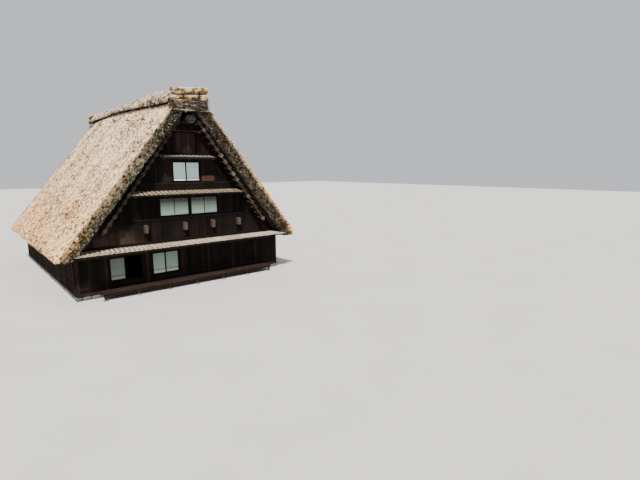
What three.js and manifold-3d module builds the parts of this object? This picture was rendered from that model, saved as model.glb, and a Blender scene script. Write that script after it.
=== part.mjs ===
// A large farmhouse with a steep two-slope thatched roof.
// The frame: millimetres, +Z up, the ridge along Y, the front gable towards -Y,
// the origin on the ground under the middle of the house.
// One storey of boarded walls carries three attic storeys inside the roof, and each gable
// has three board pent roofs, paper windows and lashed poles under the verge.

import * as THREE from 'three';
import { mergeVertices } from 'three/addons/utils/BufferGeometryUtils.js';
import Module from 'manifold-3d';

const wasm = await Module();
wasm.setup();

// Clearance between pieces that bear on each other
const GAP = 0.3;

// Walls and ground floor
const WALL_HALF_WIDTH = 6740;
const GABLE_FACE = 7945;
const WALL_THICK = 140;
const SILL_HEIGHT = 250;
const GROUND_FLOOR_TOP = 400;
const STONE_OUTSTAND = 60;
const STONE_WIDTH = 400;
const POST_WIDTH = 160;
const POST_OUTSTAND = 40;

// Thatched slopes
const EAVE_HALF_WIDTH = 7710;
const EAVE_HEIGHT = 2410;
const SLOPE = 1.267;
const THATCH_THICK = 550;
const VERGE_OVERHANG = 890;
const VERGE_ROUND = 130;
const EAVE_ROUND = 60;
const SLOPE_TOP = 11550;

// Ridge
const CAP_STATIONS = [
  { y: -8400.7, foot: 11100, top: 12000 },
  { y: -6000, foot: 11160, top: 12160 },
  { y: -3000, foot: 11280, top: 12150 },
  { y: 0, foot: 11420, top: 12180 },
  { y: 3000, foot: 11500, top: 12180 },
  { y: 6000, foot: 11380, top: 12100 },
  { y: 8400.7, foot: 11280, top: 12020 },
];
const CAP_STAND = 300;
const END_HALF_WIDTH = 1157;
const END_BOTTOM = 10660;
const END_TOP = 11940;
const END_RISE = 210;
const END_OVERHANG = 1056;
const END_LENGTH = 600;
const END_LAYERS = 5;
const END_BULGE = 60;
const NEEDLES = [
  { y: -5300, z: 10380 }, { y: -1900, z: 10580 }, { y: 1700, z: 10850 }, { y: 5300, z: 10800 },
];
const NEEDLE_RADIUS = 55;
const NEEDLE_REACH = 250;

// Storeys of a gable: where each pent roof meets the wall
const STOREY_2 = 2870;
const STOREY_3 = 5980;
const STOREY_4 = 8130;
const FLOOR_BOARDS = 120;
const BEAM_PLACES = [-2790, -340, 1580, 3520];
const BEAM_WIDTH = 210;
const BEAM_BOTTOM = 3450;
const BEAM_TOP = 3950;
const BEAM_OUTSTAND = 300;

// Windows, given by the size of their paper or boards inside the frame
const FRAME_WIDTH = 80;
const FRAME_DEPTH = 120;
const FRAME_SETBACK = 10;
const PANEL_THICK = 40;
const PANEL_RAIL = 45;
const PAIR_WIDTH = 1820;
const PAIR_POST = 130;
const WINDOW_2 = { middle: 120, bottom: 4390, top: 5490 };
const WINDOW_3 = { bottom: 6510, top: 7680 };
const SHUTTER_4 = { half: 680, bottom: 8240, top: 9470 };
const LOW_WINDOW = { bottom: 870, top: 2180, leftStart: -4950, rightStart: -2500, rightWidth: 1720 };
const FRONT_POSTS = [-6640, -5140, -2815, -590, 1220, 3030, 4840, 6640];
const RED_BOARD = { from: 990, to: 1850, bottom: 6480, top: 6830, thick: 50 };

// Pent roofs
const PENT_THICK = 70;
const PENT_ARM_WIDTH = 90;
const PENT_ARM_HEIGHT = 110;
const PENTS = [
  { depth: 1250, wallZ: 2870, frontZ: 2680, wallHalf: 6590, kneeHalf: 6700, frontHalf: 7050, arms: 9 },
  { depth: 840, wallZ: 5980, frontZ: 5770, wallHalf: 3620, kneeHalf: 3620, frontHalf: 3620, arms: 5 },
  { depth: 650, wallZ: 8130, frontZ: 7985, wallHalf: 1780, kneeHalf: 1780, frontHalf: 1780, arms: 3 },
];

// Lashed pole under each verge, from its low end to its high end
const POLE_LOW = { x: 5330, z: 3650 };
const POLE_HIGH = { x: 560, z: 10220 };
const POLE_RADIUS = 75;
const POLE_PLANE = 600;
const STUB_RADIUS = 62;
const STUB_REACH = 705;
const STUB_COUNT = 9;

// Log end under the apex
const LOG_END = { half: 325, bottom: 9960, middle: 10200, top: 10450, reach: 950 };

// Veranda in front of the front gable, and the door in the right wall
const VERANDA = { half: 5600, depth: 950, top: 420, boards: 60, posts: 7, postWidth: 120 };
const DOOR = { half: 910, top: 2200 };

// Roof lines worked out from the sizes above
const slopeAngle = Math.atan(SLOPE);
const apexOuter = EAVE_HEIGHT + SLOPE * EAVE_HALF_WIDTH;
const apexInner = apexOuter - THATCH_THICK / Math.cos(slopeAngle);
const sideGap = GAP / Math.sin(slopeAngle);
const outerX = (z) => (apexOuter - z) / SLOPE;
const innerX = (z) => (apexInner - z) / SLOPE;
const roomX = (z) => innerX(z) - sideGap;
const roomZ = (x) => apexInner - SLOPE * (x + sideGap);
const vergeY = GABLE_FACE + VERGE_OVERHANG;
const innerFace = GABLE_FACE - WALL_THICK - GAP;
const wallFoot = SILL_HEIGHT + GAP;

// Geometry helpers

const X_AXIS = new THREE.Vector3(1, 0, 0);
const Y_AXIS = new THREE.Vector3(0, 1, 0);
const Z_AXIS = new THREE.Vector3(0, 0, 1);
const alongY = new THREE.Matrix4().makeBasis(X_AXIS, Z_AXIS, Y_AXIS.clone().negate());
const alongX = new THREE.Matrix4().makeBasis(Y_AXIS, Z_AXIS, X_AXIS);

function outline(points) {
  return new THREE.Shape(points.map(([a, b]) => new THREE.Vector2(a, b)));
}

function drawnOut(shape, length) {
  return new THREE.ExtrudeGeometry(shape, { depth: length, bevelEnabled: false, curveSegments: 6 });
}

// An outline in x and z, drawn out along y
function prismY(shape, y0, y1) {
  return drawnOut(shape, y1 - y0).applyMatrix4(alongY).translate(0, y1, 0);
}

// An outline in y and z, drawn out along x
function prismX(shape, x0, x1) {
  return drawnOut(shape, x1 - x0).applyMatrix4(alongX).translate(x0, 0, 0);
}

// An outline in x and y, drawn out along z
function prismZ(shape, z0, z1) {
  return drawnOut(shape, z1 - z0).translate(0, 0, z0);
}

function box(x0, x1, y0, y1, z0, z1) {
  const geometry = new THREE.BoxGeometry(x1 - x0, y1 - y0, z1 - z0);
  return geometry.translate((x0 + x1) / 2, (y0 + y1) / 2, (z0 + z1) / 2);
}

function rodY(radius, y0, y1, x, z) {
  const geometry = new THREE.CylinderGeometry(radius, radius, y1 - y0, 6);
  return geometry.translate(x, (y0 + y1) / 2, z);
}

function rodX(radius, length, y, z) {
  const geometry = new THREE.CylinderGeometry(radius, radius, length, 10);
  return geometry.rotateZ(Math.PI / 2).translate(0, y, z);
}

// Skins a row of like outlines in x and z. Each stands at its own y and runs counter-clockwise
// seen from the front, and the row runs from the front to the back.
function loftY(rings) {
  const count = rings[0].points.length;
  const positions = rings.flatMap(({ y, points }) => points.flatMap(([x, z]) => [x, y, z]));
  const index = [];
  for (let ring = 0; ring + 1 < rings.length; ring += 1) {
    for (let i = 0; i < count; i += 1) {
      const a = ring * count + i;
      const b = ring * count + ((i + 1) % count);
      index.push(a, b + count, b, a, a + count, b + count);
    }
  }
  [0, rings.length - 1].forEach((ring) => {
    const contour = rings[ring].points.map(([x, z]) => new THREE.Vector2(x, z));
    const start = ring * count;
    THREE.ShapeUtils.triangulateShape(contour, []).forEach(([a, b, c]) => {
      index.push(...(ring === 0 ? [a, b, c] : [start + c, start + b, start + a]));
    });
  });
  const geometry = new THREE.BufferGeometry();
  geometry.setAttribute('position', new THREE.Float32BufferAttribute(positions, 3));
  geometry.setIndex(index);
  return geometry;
}

// Boolean helpers

function solidOf(geometry) {
  const bare = geometry.clone();
  bare.deleteAttribute('normal');
  bare.deleteAttribute('uv');
  const merged = mergeVertices(bare, 1e-3);
  const vertProperties = Float32Array.from(merged.attributes.position.array);
  const triVerts = Uint32Array.from(merged.index.array);
  return new wasm.Manifold(new wasm.Mesh({ numProp: 3, vertProperties, triVerts }));
}

function geometryOf(solid) {
  const mesh = solid.getMesh();
  const geometry = new THREE.BufferGeometry();
  geometry.setAttribute('position', new THREE.BufferAttribute(mesh.vertProperties, 3));
  geometry.setIndex(new THREE.BufferAttribute(mesh.triVerts, 1));
  geometry.computeVertexNormals();
  return geometry;
}

function joined(geometries) {
  const solids = geometries.map(solidOf);
  return solids.reduce((sum, next) => sum.add(next));
}

function cutBy(solid, geometries) {
  return geometries.map(solidOf).reduce((rest, cutter) => rest.subtract(cutter), solid);
}

// Materials, a new one for each piece

const FINISHES = {
  thatch: [0xc9b08c, 1.0],
  ridgeThatch: [0xa48b6c, 1.0],
  ridgeStraw: [0xcaa468, 1.0],
  darkBoard: [0x2b1f1a, 0.85],
  brownBoard: [0x4a2d22, 0.85],
  beam: [0x4b2c20, 0.8],
  pent: [0xa18a74, 0.9],
  paper: [0xbccac8, 0.9],
  pole: [0x6a5748, 0.9],
  stone: [0x8f8a80, 0.95],
  floor: [0x5c4636, 0.8],
  redBoard: [0x9c3a24, 0.7],
};

function piece(name, shape, finish) {
  const geometry = shape.isBufferGeometry ? shape : geometryOf(shape);
  const [color, roughness] = FINISHES[finish];
  const mesh = new THREE.Mesh(geometry, new THREE.MeshStandardMaterial({ color, roughness, metalness: 0 }));
  mesh.name = name;
  return mesh;
}

// Stone, ground floor and side walls

function stoneFoundation() {
  const outerWidth = WALL_HALF_WIDTH + STONE_OUTSTAND;
  const outerLength = GABLE_FACE + STONE_OUTSTAND;
  const innerWidth = outerWidth - STONE_WIDTH;
  const innerLength = outerLength - STONE_WIDTH;
  const ring = outline([
    [-outerWidth, -outerLength], [outerWidth, -outerLength],
    [outerWidth, outerLength], [-outerWidth, outerLength],
  ]);
  ring.holes.push(new THREE.Path([
    new THREE.Vector2(-innerWidth, -innerLength), new THREE.Vector2(-innerWidth, innerLength),
    new THREE.Vector2(innerWidth, innerLength), new THREE.Vector2(innerWidth, -innerLength),
  ]));
  return piece('stone_foundation', prismZ(ring, 0, SILL_HEIGHT), 'stone');
}

function groundFloor() {
  const half = WALL_HALF_WIDTH - WALL_THICK - GAP;
  const deck = box(-half, half, -innerFace, innerFace, SILL_HEIGHT, GROUND_FLOOR_TOP);
  return piece('ground_floor', deck, 'floor');
}

// side is -1 for the left wall and 1 for the right wall
function sideWall(name, side, openings) {
  const outer = WALL_HALF_WIDTH;
  const inner = outer - WALL_THICK;
  const section = outline([
    [side * inner, wallFoot], [side * outer, wallFoot],
    [side * outer, roomZ(outer)], [side * inner, roomZ(inner)],
  ]);
  const posts = 9;
  const reach = innerFace - POST_WIDTH / 2;
  const ribTop = roomZ(outer + POST_OUTSTAND) - GAP;
  const ribs = Array.from({ length: posts }, (_, i) => {
    const y = -reach + (2 * reach * i) / (posts - 1);
    const xs = [side * (outer - GAP), side * (outer + POST_OUTSTAND)].sort((a, b) => a - b);
    return box(xs[0], xs[1], y - POST_WIDTH / 2, y + POST_WIDTH / 2, wallFoot, ribTop);
  });
  const wall = joined([prismY(section, -innerFace, innerFace), ...ribs]);
  return piece(name, cutBy(wall, openings), 'darkBoard');
}

// A frame in an opening. Each bay is a stretch of x, filled with a thin panel or left open.
function framedWindow(left, right, bottom, top, bays) {
  const y0 = FRAME_SETBACK;
  const y1 = y0 + FRAME_DEPTH;
  const edge = FRAME_WIDTH - GAP;
  const block = solidOf(box(left - edge, right + edge, y0, y1, bottom - edge, top + edge));
  const panelFront = (y0 + y1 - PANEL_THICK) / 2;
  const panelBack = panelFront + PANEL_THICK;
  const pockets = bays.flatMap((bay) => (bay.open
    ? [box(bay.from, bay.to, y0 - 1, y1 + 1, bottom, top)]
    : [box(bay.from, bay.to, y0 - 1, panelFront, bottom, top),
      box(bay.from, bay.to, panelBack, y1 + 1, bottom, top)]));
  return cutBy(block, pockets);
}

// Two sliding panels side by side from x, with the meeting rails between them
function pairBays(x, width, secondOpen = false) {
  const middle = x + width / 2;
  return [
    { from: x, to: middle - PANEL_RAIL / 2 },
    { from: middle + PANEL_RAIL / 2, to: x + width, open: secondOpen },
  ];
}

function openingBox(left, right, bottom, top) {
  return box(left - FRAME_WIDTH, right + FRAME_WIDTH, -POST_OUTSTAND - 10, WALL_THICK + 10,
    bottom - FRAME_WIDTH, top + FRAME_WIDTH);
}

// Gable pieces, in a frame whose y is 0 on the wall's outer face and grows into the house

function lowWall(name) {
  const w = WALL_HALF_WIDTH;
  const shoulder = roomX(STOREY_2);
  const face = outline([
    [-w, wallFoot], [w, wallFoot], [w, roomZ(w)], [shoulder, STOREY_2],
    [-shoulder, STOREY_2], [-w, roomZ(w)],
  ]);
  const postTop = PENTS[0].frontZ - PENT_THICK - PENT_ARM_HEIGHT - 60;
  const ribs = FRONT_POSTS.map((x) => box(x - POST_WIDTH / 2, x + POST_WIDTH / 2,
    -POST_OUTSTAND, GAP, wallFoot, postTop));
  const { bottom, top, leftStart, rightStart, rightWidth } = LOW_WINDOW;
  return piece(name, cutBy(joined([prismY(face, 0, WALL_THICK), ...ribs]), [
    openingBox(leftStart, leftStart + PAIR_WIDTH, bottom, top),
    openingBox(rightStart, rightStart + rightWidth, bottom, top),
  ]), 'darkBoard');
}

function storeyWall(name, z0, z1, cutters) {
  const from = z0 + GAP;
  const face = outline([
    [-roomX(from), from], [roomX(from), from], [roomX(z1), z1], [-roomX(z1), z1],
  ]);
  return piece(name, cutBy(solidOf(prismY(face, 0, WALL_THICK)), cutters), 'darkBoard');
}

function beamHoles(places) {
  const half = BEAM_WIDTH / 2 + GAP;
  return places.map((x) => box(x - half, x + half, -10, WALL_THICK + 10,
    BEAM_BOTTOM - GAP, BEAM_TOP + GAP));
}

function lowWindows(side) {
  const { bottom, top, leftStart, rightStart, rightWidth } = LOW_WINDOW;
  const leftEnd = leftStart + PAIR_WIDTH;
  const rightEnd = rightStart + rightWidth;
  return [
    piece(`${side}_low_window_left`, framedWindow(leftStart, leftEnd, bottom, top,
      pairBays(leftStart, PAIR_WIDTH, true)), 'paper'),
    piece(`${side}_low_window_right`, framedWindow(rightStart, rightEnd, bottom, top,
      pairBays(rightStart, rightWidth)), 'paper'),
  ];
}

function windowsOfStorey2(side) {
  const { middle, bottom, top } = WINDOW_2;
  const inner = PAIR_POST / 2;
  const outer = inner + PAIR_WIDTH;
  const bays = [...pairBays(middle - outer, PAIR_WIDTH), ...pairBays(middle + inner, PAIR_WIDTH)];
  return piece(`${side}_windows_storey_2`,
    framedWindow(middle - outer, middle + outer, bottom, top, bays), 'paper');
}

function windowOfStorey3(side) {
  const half = PAIR_WIDTH / 2;
  return piece(`${side}_window_storey_3`,
    framedWindow(-half, half, WINDOW_3.bottom, WINDOW_3.top, pairBays(-half, PAIR_WIDTH)), 'paper');
}

function shuttersOfStorey4(side) {
  const { half, bottom, top } = SHUTTER_4;
  return piece(`${side}_shutters_storey_4`,
    framedWindow(-half, half, bottom, top, pairBays(-half, 2 * half)), 'brownBoard');
}

// A sloping board roof on arms, with an edge beam on their ends
function pentRoof(name, pent) {
  const { depth, wallZ, frontZ, wallHalf, kneeHalf, frontHalf, arms } = pent;
  const knee = Math.min(VERGE_OVERHANG + 15, depth - 1);
  const fall = (wallZ - frontZ) / depth;
  const topAt = (y) => wallZ + fall * y;
  const boards = outline([
    [-GAP, topAt(-GAP)], [-depth, frontZ], [-depth, frontZ - PENT_THICK], [-GAP, topAt(-GAP) - PENT_THICK],
  ]);
  const plan = outline([
    [-wallHalf, 0], [-kneeHalf, -knee], [-frontHalf, -depth - 1],
    [frontHalf, -depth - 1], [kneeHalf, -knee], [wallHalf, 0],
  ]);
  const slab = solidOf(prismX(boards, -frontHalf, frontHalf))
    .intersect(solidOf(prismZ(plan, frontZ - 500, wallZ + 500)));
  const armTip = -0.86 * depth;
  const under = PENT_THICK - 5;
  const armProfile = outline([
    [-GAP, topAt(-GAP) - under], [armTip, topAt(armTip) - under],
    [armTip, topAt(armTip) - under - PENT_ARM_HEIGHT], [-GAP, topAt(-GAP) - under - PENT_ARM_HEIGHT],
  ]);
  const armReach = wallHalf - 2 * PENT_ARM_WIDTH;
  const armPieces = Array.from({ length: arms }, (_, i) => {
    const x = -armReach + (2 * armReach * i) / (arms - 1);
    return prismX(armProfile, x - PENT_ARM_WIDTH / 2, x + PENT_ARM_WIDTH / 2);
  });
  const beamY = armTip + 60;
  const beamTop = topAt(beamY) - under + 10;
  const edgeBeam = box(-armReach - PENT_ARM_WIDTH, armReach + PENT_ARM_WIDTH,
    beamY - PENT_ARM_WIDTH / 2, beamY + PENT_ARM_WIDTH / 2, beamTop - PENT_ARM_WIDTH, beamTop);
  return piece(name, slab.add(joined([...armPieces, edgeBeam])), 'pent');
}

// side is -1 for the left pole and 1 for the right pole
function vergePole(name, side) {
  const dx = side * (POLE_HIGH.x - POLE_LOW.x);
  const dz = POLE_HIGH.z - POLE_LOW.z;
  const pole = new THREE.CylinderGeometry(POLE_RADIUS, POLE_RADIUS, Math.hypot(dx, dz), 8)
    .rotateX(Math.PI / 2)
    .rotateY(Math.atan2(dx, dz))
    .translate(side * (POLE_HIGH.x + POLE_LOW.x) / 2, -POLE_PLANE, (POLE_HIGH.z + POLE_LOW.z) / 2);
  const stubs = Array.from({ length: STUB_COUNT }, (_, i) => {
    const t = (i + 0.5) / STUB_COUNT;
    const x = POLE_LOW.x + (POLE_HIGH.x - POLE_LOW.x) * t;
    return rodY(STUB_RADIUS, -STUB_REACH, -GAP, side * x, POLE_LOW.z + dz * t);
  });
  return piece(name, joined([pole, ...stubs]), 'pole');
}

function apexLog(name) {
  const { half, bottom, middle, top, reach } = LOG_END;
  const shape = outline([[half, top], [-half, top], [-half, middle]]);
  shape.absellipse(0, middle, half, middle - bottom, Math.PI, 2 * Math.PI);
  shape.lineTo(half, top);
  return piece(name, prismY(shape, -reach, -GAP), 'pole');
}

// Thickens the ridge's end evenly towards one side: -1 for the left and 1 for the right
function thickened(geometry, side) {
  const places = geometry.attributes.position;
  for (let i = 0; i < places.count; i += 1) {
    const share = (END_HALF_WIDTH + side * places.getX(i)) / (2 * END_HALF_WIDTH);
    const height = (places.getZ(i) - END_BOTTOM) / (END_TOP - END_BOTTOM);
    places.setZ(i, places.getZ(i) + END_RISE * share * height);
  }
  return geometry;
}

// The ridge's end: layers of straw and bark that hang over the apex of the gable
function ridgeEnd(name, thickSide) {
  const layerHeight = (END_TOP - END_BOTTOM) / END_LAYERS;
  const groove = -END_OVERHANG + END_BULGE;
  const profile = new THREE.Shape();
  profile.moveTo(groove + END_LENGTH - END_BULGE, END_BOTTOM);
  profile.lineTo(groove, END_BOTTOM);
  for (let i = 0; i < END_LAYERS; i += 1) {
    const z = END_BOTTOM + i * layerHeight;
    profile.quadraticCurveTo(groove - 2 * END_BULGE, z + layerHeight / 2, groove, z + layerHeight);
  }
  profile.lineTo(groove + END_LENGTH - END_BULGE, END_TOP);
  const roofFoot = END_BOTTOM - 2000;
  const roof = outline([
    [-outerX(roofFoot) - sideGap, roofFoot], [outerX(roofFoot) + sideGap, roofFoot],
    [outerX(SLOPE_TOP) + sideGap, SLOPE_TOP + GAP], [-outerX(SLOPE_TOP) - sideGap, SLOPE_TOP + GAP],
  ]);
  const layers = thickened(prismX(profile, -END_HALF_WIDTH, END_HALF_WIDTH), thickSide);
  return piece(name, cutBy(solidOf(layers), [
    prismY(roof, -VERGE_OVERHANG - GAP, GABLE_FACE),
  ]), 'ridgeStraw');
}

// x runs to the right of someone who faces the gable, so beams are named by where they come out
function gable(side, beamPlaces, thickSide) {
  const group = new THREE.Group();
  const pairs = PAIR_WIDTH + PAIR_POST / 2;
  const half = PAIR_WIDTH / 2;
  group.add(
    lowWall(`${side}_wall`),
    storeyWall(`${side}_gable_storey_2`, STOREY_2, STOREY_3, [
      ...beamHoles(beamPlaces),
      openingBox(WINDOW_2.middle - pairs, WINDOW_2.middle + pairs, WINDOW_2.bottom, WINDOW_2.top),
    ]),
    storeyWall(`${side}_gable_storey_3`, STOREY_3, STOREY_4, [
      openingBox(-half, half, WINDOW_3.bottom, WINDOW_3.top),
    ]),
    storeyWall(`${side}_gable_storey_4`, STOREY_4, apexInner - 60, [
      openingBox(-SHUTTER_4.half, SHUTTER_4.half, SHUTTER_4.bottom, SHUTTER_4.top),
    ]),
    ...lowWindows(side),
    windowsOfStorey2(side),
    windowOfStorey3(side),
    shuttersOfStorey4(side),
    ...PENTS.map((pent, i) => pentRoof(`${side}_pent_roof_${i + 1}`, pent)),
    vergePole(`${side}_verge_pole_left`, -1),
    vergePole(`${side}_verge_pole_right`, 1),
    apexLog(`${side}_apex_log`),
    ridgeEnd(`${side}_ridge_end`, thickSide),
  );
  return group;
}

function redBoard() {
  const { from, to, bottom, top, thick } = RED_BOARD;
  return piece('front_red_board', box(from, to, -thick - GAP, -GAP, bottom, top), 'redBoard');
}

function veranda() {
  const { half, depth, top, boards, posts, postWidth } = VERANDA;
  const deck = box(-half, half, -depth, -POST_OUTSTAND - GAP, top - boards, top);
  const beamBottom = top - boards - postWidth;
  const edgeY = -depth + 60 + postWidth / 2;
  const edge = box(-half + 60, half - 60, edgeY - postWidth / 2, edgeY + postWidth / 2,
    beamBottom, top - boards + GAP);
  const legs = Array.from({ length: posts }, (_, i) => {
    const reach = half - 60 - postWidth / 2;
    const x = -reach + (2 * reach * i) / (posts - 1);
    return box(x - postWidth / 2, x + postWidth / 2, edgeY - postWidth / 2, edgeY + postWidth / 2,
      0, beamBottom + GAP);
  });
  return piece('front_veranda', joined([deck, edge, ...legs]), 'brownBoard');
}

// Door in the right wall: it lies in the wall's plane, so the frame is turned a quarter
function doorOpening() {
  const { half, top } = DOOR;
  return box(WALL_HALF_WIDTH - WALL_THICK - 10, WALL_HALF_WIDTH + POST_OUTSTAND + 10,
    -half - FRAME_WIDTH, half + FRAME_WIDTH, GROUND_FLOOR_TOP, top + FRAME_WIDTH);
}

function entranceDoors() {
  const { half, top } = DOOR;
  const bottom = GROUND_FLOOR_TOP + FRAME_WIDTH;
  const mesh = piece('entrance_doors',
    framedWindow(-half, half, bottom, top, pairBays(-half, 2 * half)), 'brownBoard');
  mesh.rotation.z = Math.PI / 2;
  mesh.position.x = WALL_HALF_WIDTH;
  return mesh;
}

// Upper floors. Each ends on the slopes' undersides, and the lowest lies on beams
// that run through both gables.

function floorSlab(bottom, top) {
  const section = outline([
    [-roomX(bottom) + GAP, bottom], [roomX(bottom) - GAP, bottom],
    [roomX(top) - GAP, top], [-roomX(top) + GAP, top],
  ]);
  return prismY(section, -innerFace, innerFace);
}

function floorOnBeams() {
  const reach = GABLE_FACE + BEAM_OUTSTAND;
  const beams = BEAM_PLACES.map((x) => box(x - BEAM_WIDTH / 2, x + BEAM_WIDTH / 2,
    -reach, reach, BEAM_BOTTOM, BEAM_TOP));
  const slab = floorSlab(BEAM_TOP - 1, BEAM_TOP + FLOOR_BOARDS);
  return piece('floor_storey_2', joined([slab, ...beams]), 'beam');
}

// Thatched slopes and ridge

// A rounded corner of an outline, from one tangent point to the other
function cornerArc(corner, from, to) {
  const curve = new THREE.QuadraticBezierCurve(
    new THREE.Vector2(...from), new THREE.Vector2(...corner), new THREE.Vector2(...to));
  return curve.getPoints(5).map((point) => [point.x, point.y]);
}

// side is -1 for the left slope and 1 for the right slope
function thatchSlope(name, side) {
  const corner = [EAVE_HALF_WIDTH, EAVE_HEIGHT];
  const upSlope = [EAVE_HALF_WIDTH - EAVE_ROUND * Math.cos(slopeAngle),
    EAVE_HEIGHT + EAVE_ROUND * Math.sin(slopeAngle)];
  const section = outline([
    [innerX(EAVE_HEIGHT), EAVE_HEIGHT],
    ...cornerArc(corner, [EAVE_HALF_WIDTH - EAVE_ROUND, EAVE_HEIGHT], upSlope),
    [outerX(SLOPE_TOP), SLOPE_TOP],
    [GAP / 2, SLOPE_TOP],
    [GAP / 2, apexInner],
  ].map(([x, z]) => [side * x, z]));
  const body = solidOf(prismY(section, -vergeY, vergeY));

  // The verge's rounded edge, drawn out along the slope
  const arc = cornerArc([vergeY, 0], [vergeY, -VERGE_ROUND], [vergeY - VERGE_ROUND, 0]);
  const deep = -2 * THATCH_THICK;
  const edge = outline([
    [-vergeY, deep], [vergeY, deep], ...arc,
    ...arc.map(([y, depth]) => [-y, depth]).reverse(),
  ]);
  const reach = 3 * apexOuter;
  const out = new THREE.Vector3(side * Math.sin(slopeAngle), 0, Math.cos(slopeAngle));
  const run = new THREE.Vector3().crossVectors(Y_AXIS, out);
  const alongSlope = new THREE.Matrix4().makeBasis(Y_AXIS, out, run);
  const slab = drawnOut(edge, reach)
    .translate(0, 0, -reach / 2)
    .applyMatrix4(alongSlope)
    .translate(0, 0, apexOuter);
  const needleHoles = NEEDLES.map(({ y, z }) => rodX(NEEDLE_RADIUS + 1, needleLength(z), y, z));
  return piece(name, cutBy(body.intersect(solidOf(slab)), needleHoles), 'thatch');
}

// The ridge cap's section, from its feet on the slopes over the crown
function capOutline(foot, top) {
  const half = new THREE.CurvePath();
  const edge = outerX(foot) + CAP_STAND;
  const shoulder = new THREE.Vector2(0.53 * edge, top - 95);
  half.add(new THREE.CubicBezierCurve(
    new THREE.Vector2(edge, foot),
    new THREE.Vector2(edge + 170, foot + 0.25 * (top - foot)),
    new THREE.Vector2(edge - 70, top - 220),
    shoulder));
  half.add(new THREE.QuadraticBezierCurve(
    shoulder, new THREE.Vector2(0.26 * edge, top), new THREE.Vector2(0, top)));
  const crown = half.getPoints(7).map((point) => [point.x, point.y]);
  const seat = [
    [outerX(SLOPE_TOP) + sideGap, SLOPE_TOP + GAP],
    [outerX(foot) + sideGap, foot],
  ];
  const right = [...seat, ...crown];
  const left = right.slice(0, -1).map(([x, z]) => [-x, z]).reverse();
  return [...right, ...left];
}

function ridgeCap() {
  const rings = CAP_STATIONS.map(({ y, foot, top }) => ({ y, points: capOutline(foot, top) }));
  return piece('ridge_cap', solidOf(loftY(rings)), 'ridgeThatch');
}

// A needle reaches a little way out of both slopes
function needleLength(z) {
  return 2 * (outerX(z) + NEEDLE_REACH);
}

function ridgeNeedles() {
  return NEEDLES.map(({ y, z }, i) => {
    const mesh = piece(`ridge_needle_${i + 1}`, rodX(NEEDLE_RADIUS, needleLength(z), 0, 0), 'pole');
    mesh.position.set(0, y, z);
    return mesh;
  });
}

// The whole house

const house = new THREE.Group();

const frontGable = gable('front', BEAM_PLACES, 1);
frontGable.add(redBoard(), veranda());
frontGable.position.y = -GABLE_FACE;

const backGable = gable('back', BEAM_PLACES.map((x) => -x), -1);
backGable.position.y = GABLE_FACE;
backGable.rotation.z = Math.PI;

const roof = new THREE.Group();
roof.add(
  thatchSlope('left_thatch', -1),
  thatchSlope('right_thatch', 1),
  ridgeCap(),
  ...ridgeNeedles(),
);

house.add(
  stoneFoundation(),
  groundFloor(),
  sideWall('left_wall', -1, []),
  sideWall('right_wall', 1, [doorOpening()]),
  entranceDoors(),
  floorOnBeams(),
  piece('floor_storey_3', floorSlab(STOREY_3, STOREY_3 + FLOOR_BOARDS), 'floor'),
  piece('floor_storey_4', floorSlab(STOREY_4, STOREY_4 + FLOOR_BOARDS), 'floor'),
  frontGable,
  backGable,
  roof,
);

export default house;
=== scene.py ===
"""Looks of a large thatched farmhouse: straw, boards, paper, ropes and stones round the CAD frame."""

import math
from itertools import pairwise, product

import bpy
import numpy as np
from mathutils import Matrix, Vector


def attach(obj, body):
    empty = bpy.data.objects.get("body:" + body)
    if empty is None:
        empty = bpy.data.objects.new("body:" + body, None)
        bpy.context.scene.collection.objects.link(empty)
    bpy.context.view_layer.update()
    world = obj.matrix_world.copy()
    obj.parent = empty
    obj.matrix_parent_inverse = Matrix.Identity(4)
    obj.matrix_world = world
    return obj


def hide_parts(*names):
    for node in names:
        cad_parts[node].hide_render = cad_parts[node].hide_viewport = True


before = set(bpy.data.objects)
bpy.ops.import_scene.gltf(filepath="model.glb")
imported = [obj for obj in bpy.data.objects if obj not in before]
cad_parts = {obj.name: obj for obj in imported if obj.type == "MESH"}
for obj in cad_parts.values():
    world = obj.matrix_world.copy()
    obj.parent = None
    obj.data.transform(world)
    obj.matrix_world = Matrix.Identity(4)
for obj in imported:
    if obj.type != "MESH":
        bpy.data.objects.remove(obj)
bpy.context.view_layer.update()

# Sizes of the house in metres, as in the CAD source

GABLE_FACE = 7.945
WALL_HALF_WIDTH = 6.74
WALL_THICK = 0.14
SILL_HEIGHT = 0.25
POST_FOOT = SILL_HEIGHT + 0.003
BOARD_FOOT = SILL_HEIGHT + 0.17
FLOOR_TOP = 0.40
STONE_OUTSTAND = 0.06
STONE_WIDTH = 0.40
POST_WIDTH = 0.16
POST_OUTSTAND = 0.04
BOARD_GAP = 0.004
ROOF_GAP = 0.03

EAVE_HALF_WIDTH = 7.71
EAVE_HEIGHT = 2.41
SLOPE = 1.267
THATCH_THICK = 0.55
VERGE_OVERHANG = 0.89
VERGE_ROUND = 0.13
VERGE_ROLL = 0.20
STRAWS = 30000
VERGE_TIPS = 2600
EAVE_ENDS = 2600
SLOPE_TOP = 11.55
THETA = math.atan(SLOPE)
APEX_OUTER = EAVE_HEIGHT + SLOPE * EAVE_HALF_WIDTH
APEX_INNER = APEX_OUTER - THATCH_THICK / math.cos(THETA)
VERGE_Y = GABLE_FACE + VERGE_OVERHANG
SLOPE_LENGTH = (APEX_OUTER - EAVE_HEIGHT) / math.sin(THETA)

# The ridge cap's foot and top at places along the ridge, how far it stands out of the slope, and how far
# its lip hangs over its foot
CAP_Y = (-8.4, -6.0, -3.0, 0.0, 3.0, 6.0, 8.4)
CAP_FOOT = (11.10, 11.16, 11.28, 11.42, 11.50, 11.38, 11.28)
CAP_TOP = (12.00, 12.16, 12.15, 12.18, 12.18, 12.10, 12.02)
CAP_STAND = 0.18
CAP_LIP = 0.15

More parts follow.
